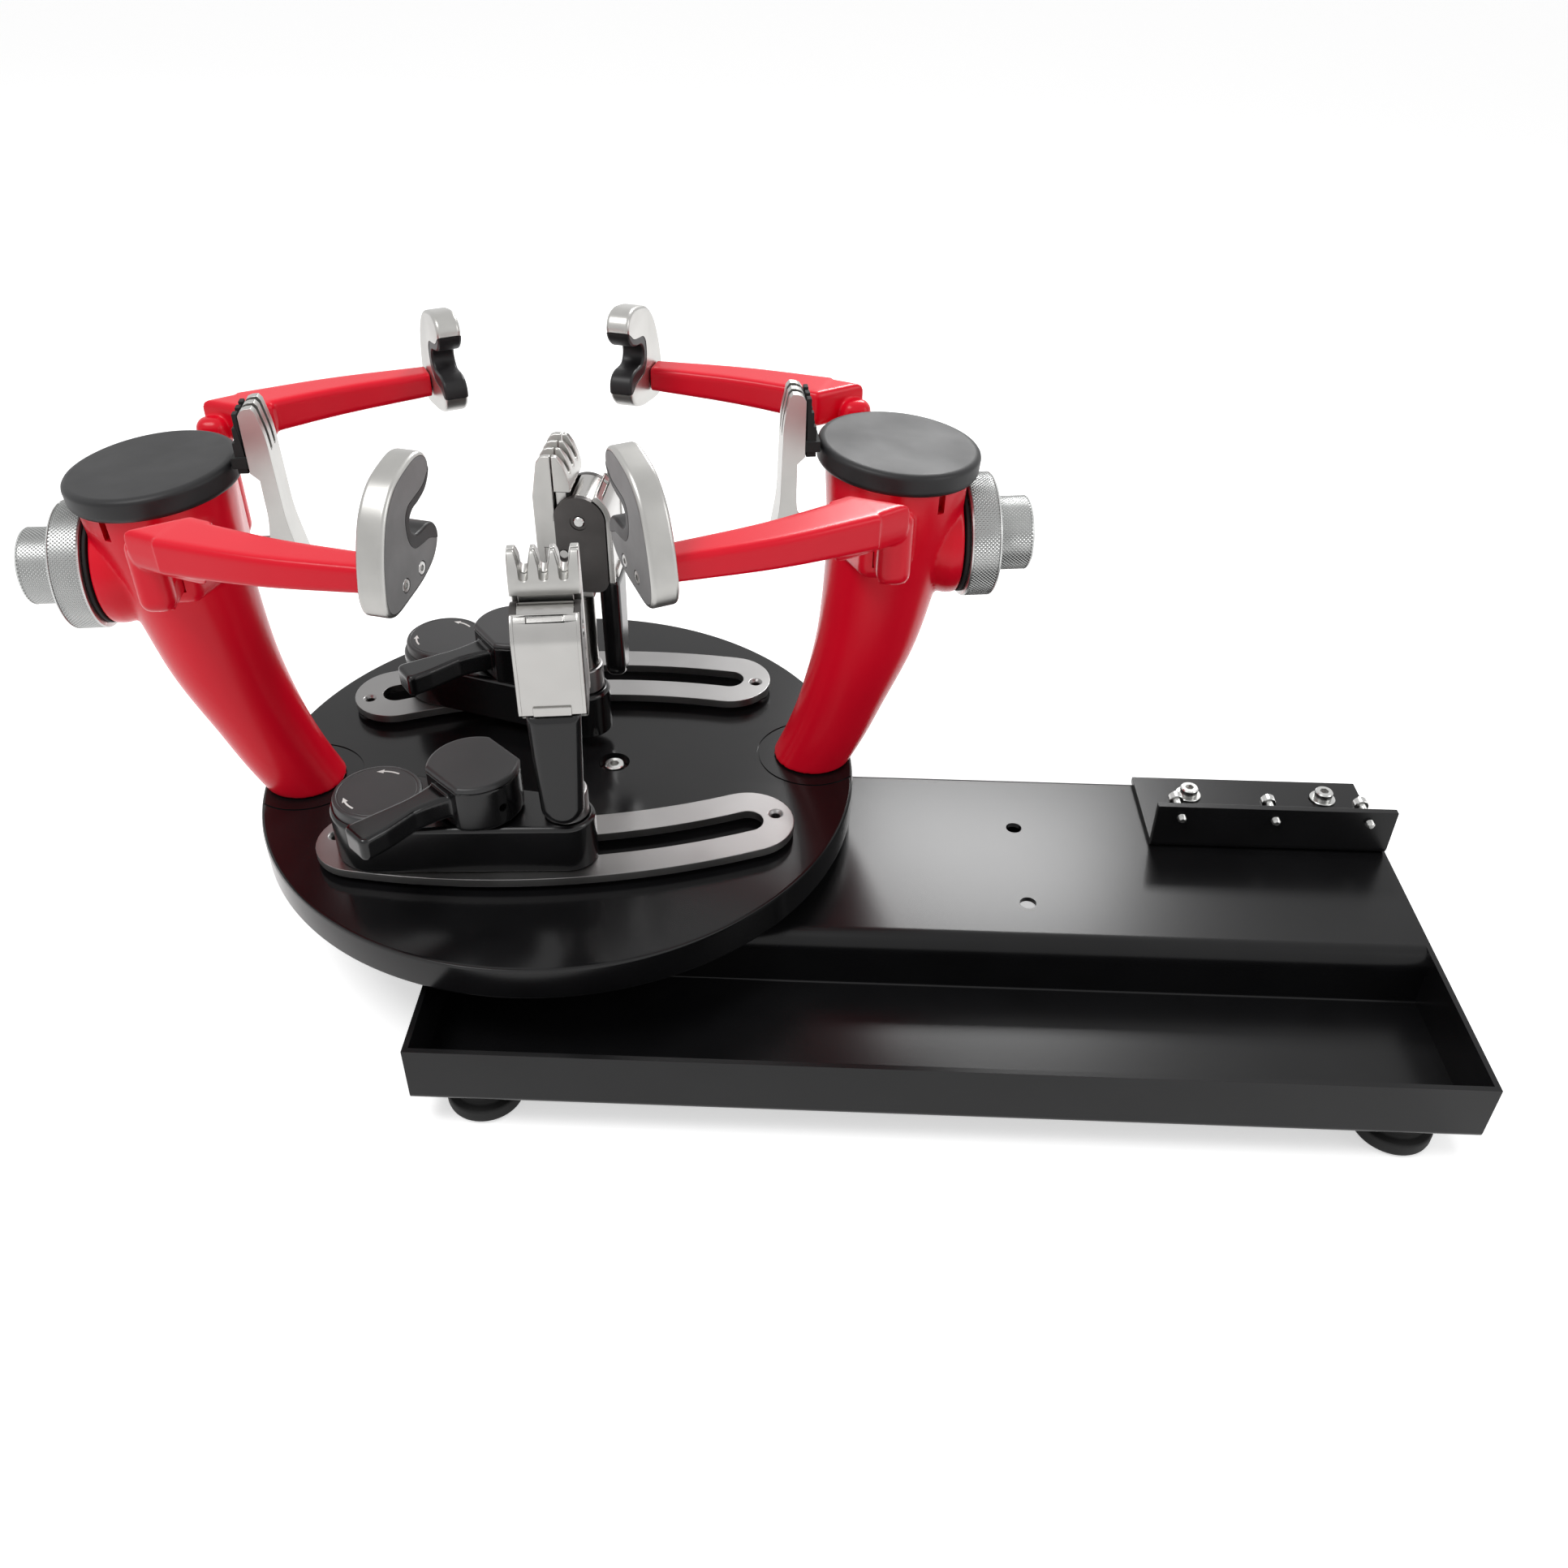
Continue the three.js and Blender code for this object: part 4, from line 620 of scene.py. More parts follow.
def guide_form(side, bottom):
    def ring(y, half, low, top):
        near, far = BAR["x"] - half, BAR["x"] + half
        return [(near, side * y, low), (far, side * y, low), (far, side * y, top), (near, side * y, top)]
    return bevelled(loft([ring(16, 17, bottom, 157), ring(46, 11, bottom + 5, 152)]), 4.5, 4)


def column_form():
    high, lean, girth = MAST["height"], MAST["lean"], MAST["girth"]
    path = [(high * h, lean * x, girth * g) for h, x, g in zip(MAST_HEIGHTS, MAST_LEANS, MAST_GIRTHS)]
    angles = [FULL * i / MAST["sides"] for i in range(MAST["sides"])]
    rings = []
    for height, shift, growth in spline(path, 44):
        radius, x, z = MAST["radius"] + growth, MAST_FOOT_X + shift, max(height, MAST["lift"])
        rings.append([(x + radius * cos(a), radius * sin(a), z) for a in angles])
    return loft(rings)


def mast_form():
    boss = [(0, 168), (19, 168), (20, 172), (22.5, 178), (25.6, 184), (27, 188), (27, 193.2), (26.2, 194),
            (0, 194)]
    boss = moved(lathe(boss, 96, "X"), 0, 0, SHAFT_Z)
    form = merged(column_form(), boss, guide_form(-1, 122), guide_form(1, 101))
    form = melted(form, 0.9, 10)
    above = brick((-120, -120, -CAP["thick"] - 0.3), (120, 120, 120))
    above.data.transform(CAP_PLACE)
    below = brick((0, -90, -40), (300, 90, MAST["lift"]))
    past = brick((MAST["seat"], -80, 70), (260, 80, 170))
    cavity = rod(18, 103, 200, 48, at=(162, 0))
    bore = rod(7.4, 160, 200, 40, "X", (0, SHAFT_Z))
    leg = brick((100, -7.4, SHAFT_Z - 6.4), (153, 7.4, SHAFT_Z + 6.4))
    tools = [above, below, past, cavity, bore, leg]
    gap = BAR["gap"]
    for side in (-1, 1):
        low, high = bar_span(side)
        near, far = sorted((-side * 22.4, side * 60))
        tools.append(brick((BAR_LOW - gap, near, low - gap), (BAR_HIGH + gap, far, high + gap)))
        near, far = sorted((side * 22, side * 34))
        tools.append(brick((178.5, near, 150), (181.7, far, 190)))
    return combined(form, tools, "DIFFERENCE", "MANIFOLD")


def cap_form():
    low = -CAP["thick"]
    profile = [(0, low), (34.6, low), (36.2, -10.4), (37.1, -9.2), (37.4, -7.8), (37.4, -2.6), (37.1, -1.5),
               (36.4, -0.7), (35.2, -0.2), (34, 0), (0, 0)]
    return lathe(profile, 128)


KNURL = {"pitch": 1.8, "depth": 0.55, "rim": 1.2, "samples": 4}


def knurl_depth(u, v):
    """How deep the knurl is at a place, with both values counted in pitches."""
    ridge = min(abs((u + v) % 1 - 0.5) * 2, abs((u - v) % 1 - 0.5) * 2)
    return KNURL["depth"] * (1 - ridge * 1.25) if ridge < 0.8 else 0


def knurled(radius, start, end, bore):
    """A knob's outside along X with a diamond knurl between its two rims."""
    pitch, rim, samples = KNURL["pitch"], KNURL["rim"], KNURL["samples"]
    middle = end - start - 2 * rim
    columns, rows = round(FULL * radius / pitch) * samples, round(middle / pitch * samples)
    steps = [(bore, start), (radius - rim, start), (radius - rim / 3, start + rim * 0.35)]
    steps.append((radius, start + rim))
    first = len(steps)
    steps += [(radius, start + rim + middle * (k + 0.5) / rows) for k in range(rows)]
    steps += [(radius, end - rim), (radius - rim / 3, end - rim * 0.35), (radius - rim, end), (bore, end)]
    verts, faces = [], []
    for k, (reach, x) in enumerate(steps):
        for i in range(columns):
            sunk = knurl_depth(i / samples, (x - start) / pitch) if first <= k < first + rows else 0
            angle = FULL * i / columns
            verts.append((x, (reach - sunk) * cos(angle), (reach - sunk) * sin(angle)))
            ahead, above = (i + 1) % columns, (k + 1) % len(steps) * columns
            faces.append((k * columns + i, k * columns + ahead, above + ahead, above + i))
    return solid(verts, faces)


def arm_knob_form():
    knurl = knurled(29, 196.5, 211, 3.8)
    tube = [(3.8, 148), (8.7, 148), (8.7, 160), (7, 160), (7, 194.3), (21, 194.3), (21, 196.7), (3.8, 196.7)]
    tube = hollow(tube, 64, "X")
    groove = hollow([(18.2, 210.98), (18.2, 211.15), (25.4, 211.15), (25.4, 210.98)], 96, "X")
    return merged(knurl, tube, groove)


def support_knob_form():
    knurl = knurled(17.4, 211.3, 229, 2.0)
    stem = lathe([(0, 118), (3.1, 118), (3.4, 118.4), (3.4, 211.6), (0, 211.6)], 40, "X")
    plug = lathe([(0, 211.5), (2.2, 211.5), (2.2, 228.4), (0, 228.4)], 32, "X")
    return merged(knurl, stem, plug)


HOOK = {"x": 49.6, "y": 117.4, "turn": 19.8, "thick": 10.0, "depth": 48.0, "base": 154.5, "height": 54.0}
HOOK_OUTLINE = (
    (0.02, 0.06), (-0.02, 0.16), (0, 0.34), (0.06, 0.54), (0.19, 0.77), (0.38, 0.92), (0.6, 0.985),
    (0.8, 1.005), (0.93, 0.965), (0.985, 0.88), (0.965, 0.79), (0.87, 0.7), (0.73, 0.655), (0.62, 0.635),
    (0.56, 0.59), (0.55, 0.52), (0.6, 0.465), (0.69, 0.455), (0.82, 0.457), (0.92, 0.425), (0.97, 0.36),
    (0.968, 0.265), (0.87, 0.155), (0.67, 0.075), (0.4, 0.03), (0.12, 0.01),
)
# Where the notch's lining ends on the hook's face, from the tip round the notch to the lip
LINING_OUTLINE = (
    (1.1, 0.9), (0.99, 0.85), (0.93, 0.815), (0.83, 0.755), (0.68, 0.725), (0.55, 0.7), (0.485, 0.64),
    (0.465, 0.53), (0.49, 0.43), (0.56, 0.365), (0.68, 0.345), (0.82, 0.335), (0.93, 0.29), (1.1, 0.24),
)
HOOK_SCREWS = ((16.3, 163.4), (30.1, 164.0))
METAL_EDGE = ((1.5, 0), (0.9, 0.2), (0.35, 0.7), (0.08, 1.3), (0, 1.9))
LINING_EDGE = ((1.2, 0), (0.6, 0.25), (0.15, 0.8), (0, 1.4))
PLATE_EDGE = ((0.3, 0), (0.1, 0.1), (0, 0.35))
LINING_GAP, PLATE_INSET = 0.15, 1.7


def hook_place():
    turn = radians(HOOK["turn"])
    inward, up = Vector((-sin(turn), -cos(turn), 0)), Vector((0, 0, 1))
    turned = Matrix((inward, up, inward.cross(up))).transposed().to_4x4()
    return shifted(HOOK["x"], HOOK["y"]) @ turned


def hook_curve(shares, count, closed):
    points = [(s * HOOK["depth"], HOOK["base"] + z * HOOK["height"]) for s, z in shares]
    return plane_spline(points, count, closed)


def inset(outline, distance):
    """Moves a smooth outline towards its own inside."""
    total = len(outline)
    area = sum(a[0] * b[1] - b[0] * a[1] for a, b in zip(outline, outline[1:] + outline[:1]))
    side = 1 if area > 0 else -1
    inner = []
    for i, (x, y) in enumerate(outline):
        before, after = outline[i - 2], outline[(i + 2) % total]
        run = Vector((after[0] - before[0], after[1] - before[1])).normalized()
        inner.append((x - side * run.y * distance, y + side * run.x * distance))
    return inner


def softened(outline, low, high, edges, at_low=True):
    """A plate of an outline with rounded edges: edges are (inset, rise) pairs."""
    rings = [[(x, y, low) for x, y in outline]]
    if at_low:
        rings = [[(x, y, low + rise) for x, y in inset(outline, step)] for step, rise in edges]
    rings += [[(x, y, high - rise) for x, y in inset(outline, step)] for step, rise in reversed(edges)]
    return loft(rings)


def lining_room(gap):
    """The space of the notch's lining, made smaller all round by a gap."""
    return prism(inset(hook_curve(LINING_OUTLINE, 90, False), gap), -20, 10)


def hook_screw(place):
    head = lathe([(0, -1.6), (2.8, -1.6), (2.9, -1.4), (2.9, -0.7), (2.5, -0.35), (0, -0.25)], 40)
    return cut(moved(head, *place), rod(1.4, -1.1, 2, 6, at=place))


def hook_forms():
    outline = hook_curve(HOOK_OUTLINE, 200, True)
    metal = softened(outline, -11.8, -0.3, METAL_EDGE)
    metal = cut(metal, lining_room(0), prism(inset(outline, 1.5), -1.8, 5))
    filling = softened(inset(outline, LINING_GAP), -11.6, -0.1, LINING_EDGE)
    filling = combined(filling, [lining_room(LINING_GAP)], "INTERSECT")
    # The face plate takes a grey that stands for the silver face in shade: painted shade
    plate = softened(inset(outline, PLATE_INSET), -1.7, -0.2, PLATE_EDGE, at_low=False)
    plate = cut(plate, lining_room(0), *[rod(3.1, -1.5, 5, 40, at=place) for place in HOOK_SCREWS])
    return metal, filling, plate, merged(*[hook_screw(place) for place in HOOK_SCREWS])


def hook_point(s, t):
    turn = radians(HOOK["turn"])
    sine, cosine = sin(turn), cos(turn)
    return (HOOK["x"] - s * sine + t * cosine, HOOK["y"] - s * cosine - t * sine)


# A side arm bows from its hook to a root block, with a leg down to the bar in the mast's guide
ARM = {"along": 14, "behind": 2.1, "top": 174, "wide": (14, 9), "tall": (12, 4), "edge": 2.6}
ROOT_OUTLINE = ((124, 60.5), (134, 55), (159, 67), (141, 77.5), (124, 85.5))
ROOT_LEVELS = ((0.7, 155.5), (0.86, 157), (0.95, 159.5), (1, 164), (1, 170), (0.97, 172.6), (0.88, 173.9))


def bow_form():
    tip = hook_point(ARM["along"], HOOK["thick"] + ARM["behind"])
    path = spline([(*tip, 0), (100, 85.5, 0), (140, 67, 0)], 40)
    rings = []
    for i, point in enumerate(path):
        share = i / (len(path) - 1)
        ahead = (path[min(i + 1, len(path) - 1)] - path[max(i - 1, 0)]).normalized()
        across = Vector((-ahead.y, ahead.x, 0))
        wide, tall = [(size + growth * share) / 2 for size, growth in (ARM["wide"], ARM["tall"])]
        section, edge = [], ARM["edge"]
        for a, b, start in ((1, -1, -90), (1, 1, 0), (-1, 1, 90), (-1, -1, 180)):
            section += arc(a * (wide - edge), b * (tall - edge), edge, start, start + 90, 5)
        rings.append([point + across * u + Vector((0, 0, ARM["top"] - tall + v)) for u, v in section])
    return loft(rings)


def arm_form(side):
    u, v = Vector((sum(x for x, y in ROOT_OUTLINE), sum(y for x, y in ROOT_OUTLINE))) / len(ROOT_OUTLINE)
    levels = [[(u + (x - u) * share, v + (y - v) * share, z) for x, y in ROOT_OUTLINE]
              for share, z in ROOT_LEVELS]
    low, high = bar_span(side)
    leg = bevelled(brick((146.5, 54.9, low + 0.2), (161.5, 67, 168)), 5.5, 5)
    bar = brick((BAR_LOW, -BAR["end"], low), (BAR_HIGH, 62, high))
    return melted(merged(bow_form(), bevelled(loft(levels), 3, 3), leg, bar), 0.62, 14)


# The centre support is a flat stem with three prongs and a stepped rubber pad; outlines are (x, z) pairs
PRONG_HALF, SLOT_WIDTH, SLOT_FLOOR, SLOT_STARTS, PAD_X = 9, 3, 180, (-5.0, 2.0), 121.3
PRONG_INNER = ((105.2, 118.7), (107.2, 130), (109.8, 146), (110.6, 165), (111.4, 186), (113.6, 197.5))
PRONG_TIP = [(115, 199.2), (117.5, 199), (119.5, 198.2), (121, 196), (121, 170)]
PRONG_OUTER = ((123, 131.5), (119.6, 136.7), (117.6, 148), (117.5, 158), (117.5, 166.5))
PAD_OUTLINE = ((PAD_X, 170), (125.8, 170), (125.8, 184.1), (124.6, 184.1), (124.6, 190.6), (123.4, 190.6),
               (123.4, 197), (PAD_X, 197))


def prong_slot(start, low):
    return brick((start, low, SLOT_FLOOR), (140, low + SLOT_WIDTH, 205))


def support_form():
    outline = plane_spline(PRONG_INNER, 26) + PRONG_TIP + plane_spline(PRONG_OUTER, 16)[::-1]
    form = prism(outline + [(146, 130.7), (146, 118.7)], -PRONG_HALF, PRONG_HALF, "XZ")
    tools = []
    for sign in (-1, 1):
        near, far = sorted((sign * 7, sign * 14))
        tools.append(brick((121.5, near, 110), (150, far, 131.2)))
    half = SLOT_WIDTH / 2
    for low in SLOT_STARTS:
        tools += [prong_slot(100, low), rod(half, 100, 140, 20, "X", (low + half, SLOT_FLOOR))]
    tools.append(rod(3.8, 113, 150, 32, "X", (0, SHAFT_Z)))
    return bevelled(cut(form, *tools), 0.9, 3, 35)


def pad_form():
    pad = prism(PAD_OUTLINE, -PRONG_HALF, PRONG_HALF, "XZ")
    pad = cut(pad, *[prong_slot(PAD_X - OVERRUN, low) for low in SLOT_STARTS])
    return bevelled(joined(pad, brick((PAD_X + 0.1, -10, 172.6), (127.6, 10, 177.6))), 0.35, 2, 35)


def make_hook(tag, place):
    metal, filling, plate, screws = hook_forms()
    dress(metal, f"hook_metal_{tag}", f"hook_{tag}", place, sharp=40)
    dress(filling, f"notch_lining_{tag}", f"hook_lining_{tag}", place, "notch", sharp=40)
    # A grey plate on the hook's face, standing for the silver face in shade: painted shade
    add(plate, f"hook_face_shade_plate_{tag}", f"hook_{tag}", "lining", place)
    add(screws, f"hook_screws_{tag}", f"hook_{tag}", "zinc", place)


def make_heads():
    for hand, place in HEADS.items():
        dress(mast_form(), f"column_{hand}", f"mast_{hand}", place, sharp=45)
        dress(cap_form(), f"cap_{hand}", f"mast_cap_{hand}", place @ CAP_PLACE, sharp=60)
        knob = place @ shifted(0, 0, SHAFT_Z)
        dress(arm_knob_form(), f"large_knob_{hand}", f"arm_knob_{hand}", knob, sharp=28)
        dress(support_knob_form(), f"small_knob_{hand}", f"support_knob_{hand}", knob, sharp=28)
        # A dark rubber ring between the red boss and the knob, standing for the shadow in that gap: painted shadow
        shadow_ring = [(20.6, 194.6), (26.4, 194.6), (26.7, 194.9), (26.7, 196.0), (26.4, 196.3), (20.6, 196.3)]
        add(hollow(shadow_ring, 96, "X"), f"knob_shadow_ring_{hand}", f"arm_knob_{hand}", "rubber", knob)
        dress(support_form(), f"prong_support_{hand}", f"centre_support_{hand}", place)
        dress(pad_form(), f"prong_pad_{hand}", f"support_pad_{hand}", place)
        for row, side in (("front", -1), ("rear", 1)):
            mirrored, tag = place @ scaled(1, side, 1), f"{row}_{hand}"
            dress(arm_form(side), f"arm_{tag}", f"side_arm_{tag}", mirrored, sharp=50)
            make_hook(tag, mirrored @ hook_place())


make_heads()


# Clamps: base with its dial, lock lever, stud, collar, post, and the head with its jaws, lever and grip
LOCK_X, POST_X, TAIL, NOSE = 47, 88, 22.5, 13
LOCK_HUB = {"radius": 21, "flat": 17.5, "low": 34.3, "high": 55.2}
ARROW = {"radius": 15.2, "width": 0.9, "head": 3.4, "spread": 1.6}
LEVER_PIN, JAW_PIN, LEVER_BORE, JAW_BORE = (7, 133), (-1.25, 116), 2.75, 2.25
HEAD_HALF, JAW_TOP, CHEEK_INNER, CHEEK_RADIUS = 14.5, 165, 11.7, 12.3
TOOTH = {"width": 4.6, "depth": 11, "count": 4}
SHELL = {"outer": 15, "inner": 12.6, "half": 14, "foot": 101, "end": 58}
GRIP = {"tip": 51.5, "tip_half": 9.5, "top": 100.7, "top_half": 11.5, "corner": 1.5}


def quarter_round(radius, steps=5):
    """(inset, rise) pairs of a rounded edge, from the flat outwards."""
    angles = [RIGHT_ANGLE * k / steps for k in range(steps + 1)]
    return [(radius * (1 - sin(a)), radius * (1 - cos(a))) for a in angles]


def stacked(outline_at, low, high, low_edge, high_edge, plane="XY"):
    """A plate whose outline is a function of its inset, with rounded edges of two sizes."""
    levels = [(step, low + rise) for step, rise in quarter_round(low_edge)]
    levels += [(step, high - rise) for step, rise in reversed(quarter_round(high_edge))]
    return loft([[PLANES[plane](a, b, level) for a, b in outline_at(step)] for step, level in levels])


def base_outline(step):
    lean = math.degrees(math.asin((TAIL - NOSE) / POST_X))
    tail = arc(0, 0, TAIL - step, 90 - lean, 270 + lean, 56)
    return tail + arc(POST_X, 0, NOSE - step, lean - 90, 90 - lean, 40)


def clamp_base_form():
    casting = stacked(base_outline, 7.8, 33, 0.8, 2.5)
    seat = moved(lathe([(0, 30), (16, 30), (16, 33.6), (15.6, 34), (0, 34)], 64), LOCK_X, 0)
    bores = [rod(8.75, 12.7, 40, 64, at=(POST_X, 0)), rod(11.1, 32.2, 40, 64, at=(POST_X, 0)),
             rod(5.25, 19.7, 40, 48, at=(LOCK_X, 0)), rod(5.25, 4, 29.3, 48)]
    casting = cut(joined(casting, seat), *bores)
    dial = lathe([(0, 31), (20.5, 31), (20.5, 36.6), (20.1, 37.5), (19.3, 37.95), (18.6, 38), (18.3, 37.82),
                  (18.0, 37.82), (17.7, 38), (0, 38)], 96)
    return casting, dial


def arrow_form(start, end):
    """A bent arrow on the dial, from one angle to another."""
    radius, half, spread = ARROW["radius"], ARROW["width"] / 2, ARROW["spread"] * ARROW["width"]
    way = 1 if end > start else -1
    neck = end - way * math.degrees(ARROW["head"] / radius)
    outer, inner = arc(0, 0, radius + half, start, neck, 14), arc(0, 0, radius - half, neck, start, 14)
    ends = ((radius + spread, neck), (radius, end), (radius - spread, neck))
    return prism(outer + [polar(0, 0, r, degrees) for r, degrees in ends] + inner, 37.9, 38.06)


def lock_outline(step):
    radius, flat = LOCK_HUB["radius"] - step, LOCK_HUB["flat"] - step
    reach = math.degrees(math.acos(flat / radius))
    return arc(0, 0, radius, reach, 180 - reach, 40) + arc(0, 0, radius, 180 + reach, 360 - reach, 40)


def blade_form():
    shares = [k / 12 for k in range(13)]
    blade = [(34 * t, -15 + 8.5 * t * (2 - t)) for t in shares] + [(50, -7.6)]
    blade += arc(59.4, -4.9, 3.2, -90, 0, 8) + arc(59.4, 4.6, 3.2, 0, 90, 8) + [(50, 7.2)]
    blade += [(34 - 34 * t, 4.5 + 10.5 * t * t) for t in shares]
    return bevelled(prism(blade, 39.3, 51), 2.6, 3, 40)


def lock_form():
    low, high = LOCK_HUB["low"], LOCK_HUB["high"]
    body = stacked(lock_outline, low, high, 1.0, 0.3)
    lid = stacked(lock_outline, 55.5, 58, 0.2, 1.9)
    core = stacked(lambda step: lock_outline(step + 0.8), 50, 57, 0.1, 0.1)
    fused = melted(merged(body, blade_form()), 0.5, 6)
    fused = combined(fused, [brick((-30, -30, low), (80, 30, high))], "INTERSECT", "MANIFOLD")
    fused = combined(fused, [rod(2, 8, 30, 24, "Y", (0, 44))], "DIFFERENCE", "MANIFOLD")
    screw = cut(rod(1.9, 14.2, 15.6, 24, "Y", (0, 44)), rod(1.1, 14.9, 17, 6, "Y", (0, 44)))
    return merged(fused, core, rod(5, 20, 40, 40)), lid, screw


def tooth_tools(low, high):
    """What stands between the jaw's teeth: round at the floor, flared towards the top."""
    width, top = TOOTH["width"], JAW_TOP
    pitch = (2 * HEAD_HALF - width) / (TOOTH["count"] - 1)
    half = (pitch - width) / 2
    tools = []
    for i in range(TOOTH["count"] - 1):
        u = -HEAD_HALF + width + i * pitch + half
        right = [(u + half + 0.15, top - 5.5), (u + half + 1.5, top), (u + half + 3, top + 6)]
        side = arc(u, top - TOOTH["depth"] + half, half, 180, 360, 16) + right
        tools.append(prism(side + [(2 * u - x, z) for x, z in reversed(right)], low, high, "XZ"))
    return tools


def body_form():
    side = [(-14, 92.3), (-4.3, 92.3), (-4.3, JAW_TOP), (-7.2, JAW_TOP), (-9.3, 164.2), (-11, 161.8),
            (-14, 145)]
    jaw = prism(side, -HEAD_HALF, HEAD_HALF, "YZ")
    jaw = cut(jaw, brick((13.7, -10.2, 90), (20, -3, 119)), brick((-20, -10.2, 90), (-13.7, -3, 119)))
    jaw = bevelled(cut(jaw, *tooth_tools(-30, 10)), 0.55, 3, 28)
    block = bevelled(brick((-14.2, -13.7, 92.6), (14.2, 12, 106)), 1.2, 3)
    return cut(joined(jaw, block), rod(5.75, 80, 108.3, 40), rod(JAW_BORE, -40, 40, 24, "X", JAW_PIN))


def cheek_form(side):
    y, z = LEVER_PIN
    outline = arc(y, z, CHEEK_RADIUS, 0, 180, 44) + [(-4.6, z), (-4.6, 97)]
    outline += arc(-3.4, 97.2, 1.2, 180, 270, 4) + arc(13.3, 102, 6, 270, 360, 10)
    form = prism(outline, *sorted((side * CHEEK_INNER, side * HEAD_HALF)), "YZ")
    low, high = sorted((side * 14.0, side * 18))
    tools = [rod(LEVER_BORE, -40, 40, 32, "X", LEVER_PIN), rod(4.3, low, high, 40, "X", LEVER_PIN),
             rod(JAW_BORE, -40, 40, 32, "X", JAW_PIN), rod(3.1, low, high, 32, "X", JAW_PIN)]
    return bevelled(cut(form, *tools), 0.35, 2, 35)


def jaw_form():
    tongue = bevelled(brick((-11.3, -3.7, 111), (11.3, 1.5, 152)), 0.5, 2)
    side = [(-3.7, 147.6), (4, 147.6), (4, 151.6), (2.9, 156.5), (1.2, 161), (-0.9, 164.2), (-2.2, JAW_TOP),
            (-3.7, JAW_TOP)]
    crown = bevelled(cut(prism(side, -HEAD_HALF, HEAD_HALF, "YZ"), *tooth_tools(-10, 30)), 0.5, 3, 28)
    return merged(tongue, crown, rod(2, -HEAD_HALF, HEAD_HALF, 32, "X", JAW_PIN))


def about_pin(outer, inner, start, end, count):
    """A curved strip about the lever's pin."""
    return arc(*LEVER_PIN, outer, start, end, count) + arc(*LEVER_PIN, inner, end, start, count)


def lever_form():
    outer, inner, half, foot = [SHELL[key] for key in ("outer", "inner", "half", "foot")]
    y = LEVER_PIN[0]
    strip = [(y + outer, foot)] + about_pin(outer, inner, 0, SHELL["end"], 30) + [(y + inner, foot)]
    tab_pocket = [polar(*LEVER_PIN, r, a) for r, a in ((14.3, 43), (16, 43), (16, 54), (14.3, 54))]
    cover = bevelled(cut(prism(strip, -half, half, "YZ"), prism(tab_pocket, -7.5, 7.5, "YZ")), 0.5, 3, 28)
    rails = []
    for side in (-1, 1):
        rail = [(22.6, 101.5)] + about_pin(15.55, 14.5, 0, 56, 30) + [(21.6, 101.5)]
        rails.append(bevelled(prism(rail, *sorted((side * inner, side * half)), "YZ"), 0.3, 2, 35))
    tab = bevelled(brick((-8, 19.8, foot), (8, 23.1, 105.5)), 0.6, 2)
    flat = math.degrees(math.acos(3.9 / 5.1))
    cam = prism(arc(*LEVER_PIN, 5.1, 130 + flat, 130 - flat + 360, 40), -8, 8, "YZ")
    cam = joined(cam, brick((-7.7, y, 130.45), (7.7, 19.9, 135.55)))
    return merged(cover, *rails, tab, cut(cam, rod(LEVER_BORE, -20, 20, 32, "X", LEVER_PIN)))


def grip_outline(step):
    foot, corner, tip_half, top = GRIP["tip"], GRIP["corner"], GRIP["tip_half"] - step, GRIP["top"] - step
    lean = math.degrees(math.atan2(GRIP["top_half"] - GRIP["tip_half"], GRIP["top"] - foot))
    half = GRIP["top_half"] - step - 0.04 * step
    high = top - corner
    right = [(tip_half + (half - tip_half) * k / 6, foot + (high - foot) * k / 6) for k in range(1, 6)]
    left = [(-x, z) for x, z in reversed(right)]
    ends = arc(half - corner, high, corner, 0, 90, 5) + arc(corner - half, high, corner, 90, 180, 5)
    return arc(0, foot, tip_half, 180 + lean, 360 - lean, 36) + right + ends + left


def make_clamp_base(name, base, lock, post):
    carrier, turning = f"{name}_clamp_base", f"{name}_lock_lever"
    stud = lathe([(0, 0.5), (10.6, 0.5), (11, 0.9), (11, 2.4), (7.2, 2.4), (7.2, 7.5), (5, 7.5), (5, 28.5),
                  (4.5, 29), (0, 29)], 48)
    dress(stud, f"stud_{name}", f"{name}_lock_stud", base)
    casting, dial = clamp_base_form()
    dress(casting, f"casting_{name}", carrier, base, "gloss", sharp=40)
    add(dial, f"dial_{name}", carrier, "satin", base, sharp=25)
    arrows = merged(arrow_form(66, 108), arrow_form(243, 205))
    add(arrows, f"dial_arrows_{name}", carrier, "print", base)
    lever, lid, screw = lock_form()
    dress(lever, f"lock_{name}", turning, lock, "gloss", sharp=50)
    add(lid, f"lock_lid_{name}", turning, "satin", lock, sharp=25)
    add(screw, f"lock_set_screw_{name}", turning, "zinc", lock)
    ring = [(8.75, 33.3), (10.0, 33.3), (10.3, 33.6), (10.3, 45.4), (9.9, 46.1), (9.3, 46.3), (8.75, 46.3)]
    dress(hollow(ring, 64), f"collar_{name}", f"{name}_post_collar", post, sharp=30)
    bar = lathe([(0, 13), (8.1, 13), (8.5, 13.4), (8.5, 86.4), (8.25, 86.7), (8.25, 87.3), (8.5, 87.6),
                 (8.5, 91.5), (8, 92), (5.5, 92), (5.5, 107.6), (5.1, 108), (0, 108)], 64)
    dress(bar, f"post_{name}", f"{name}_clamp_post", post, "post", sharp=30)


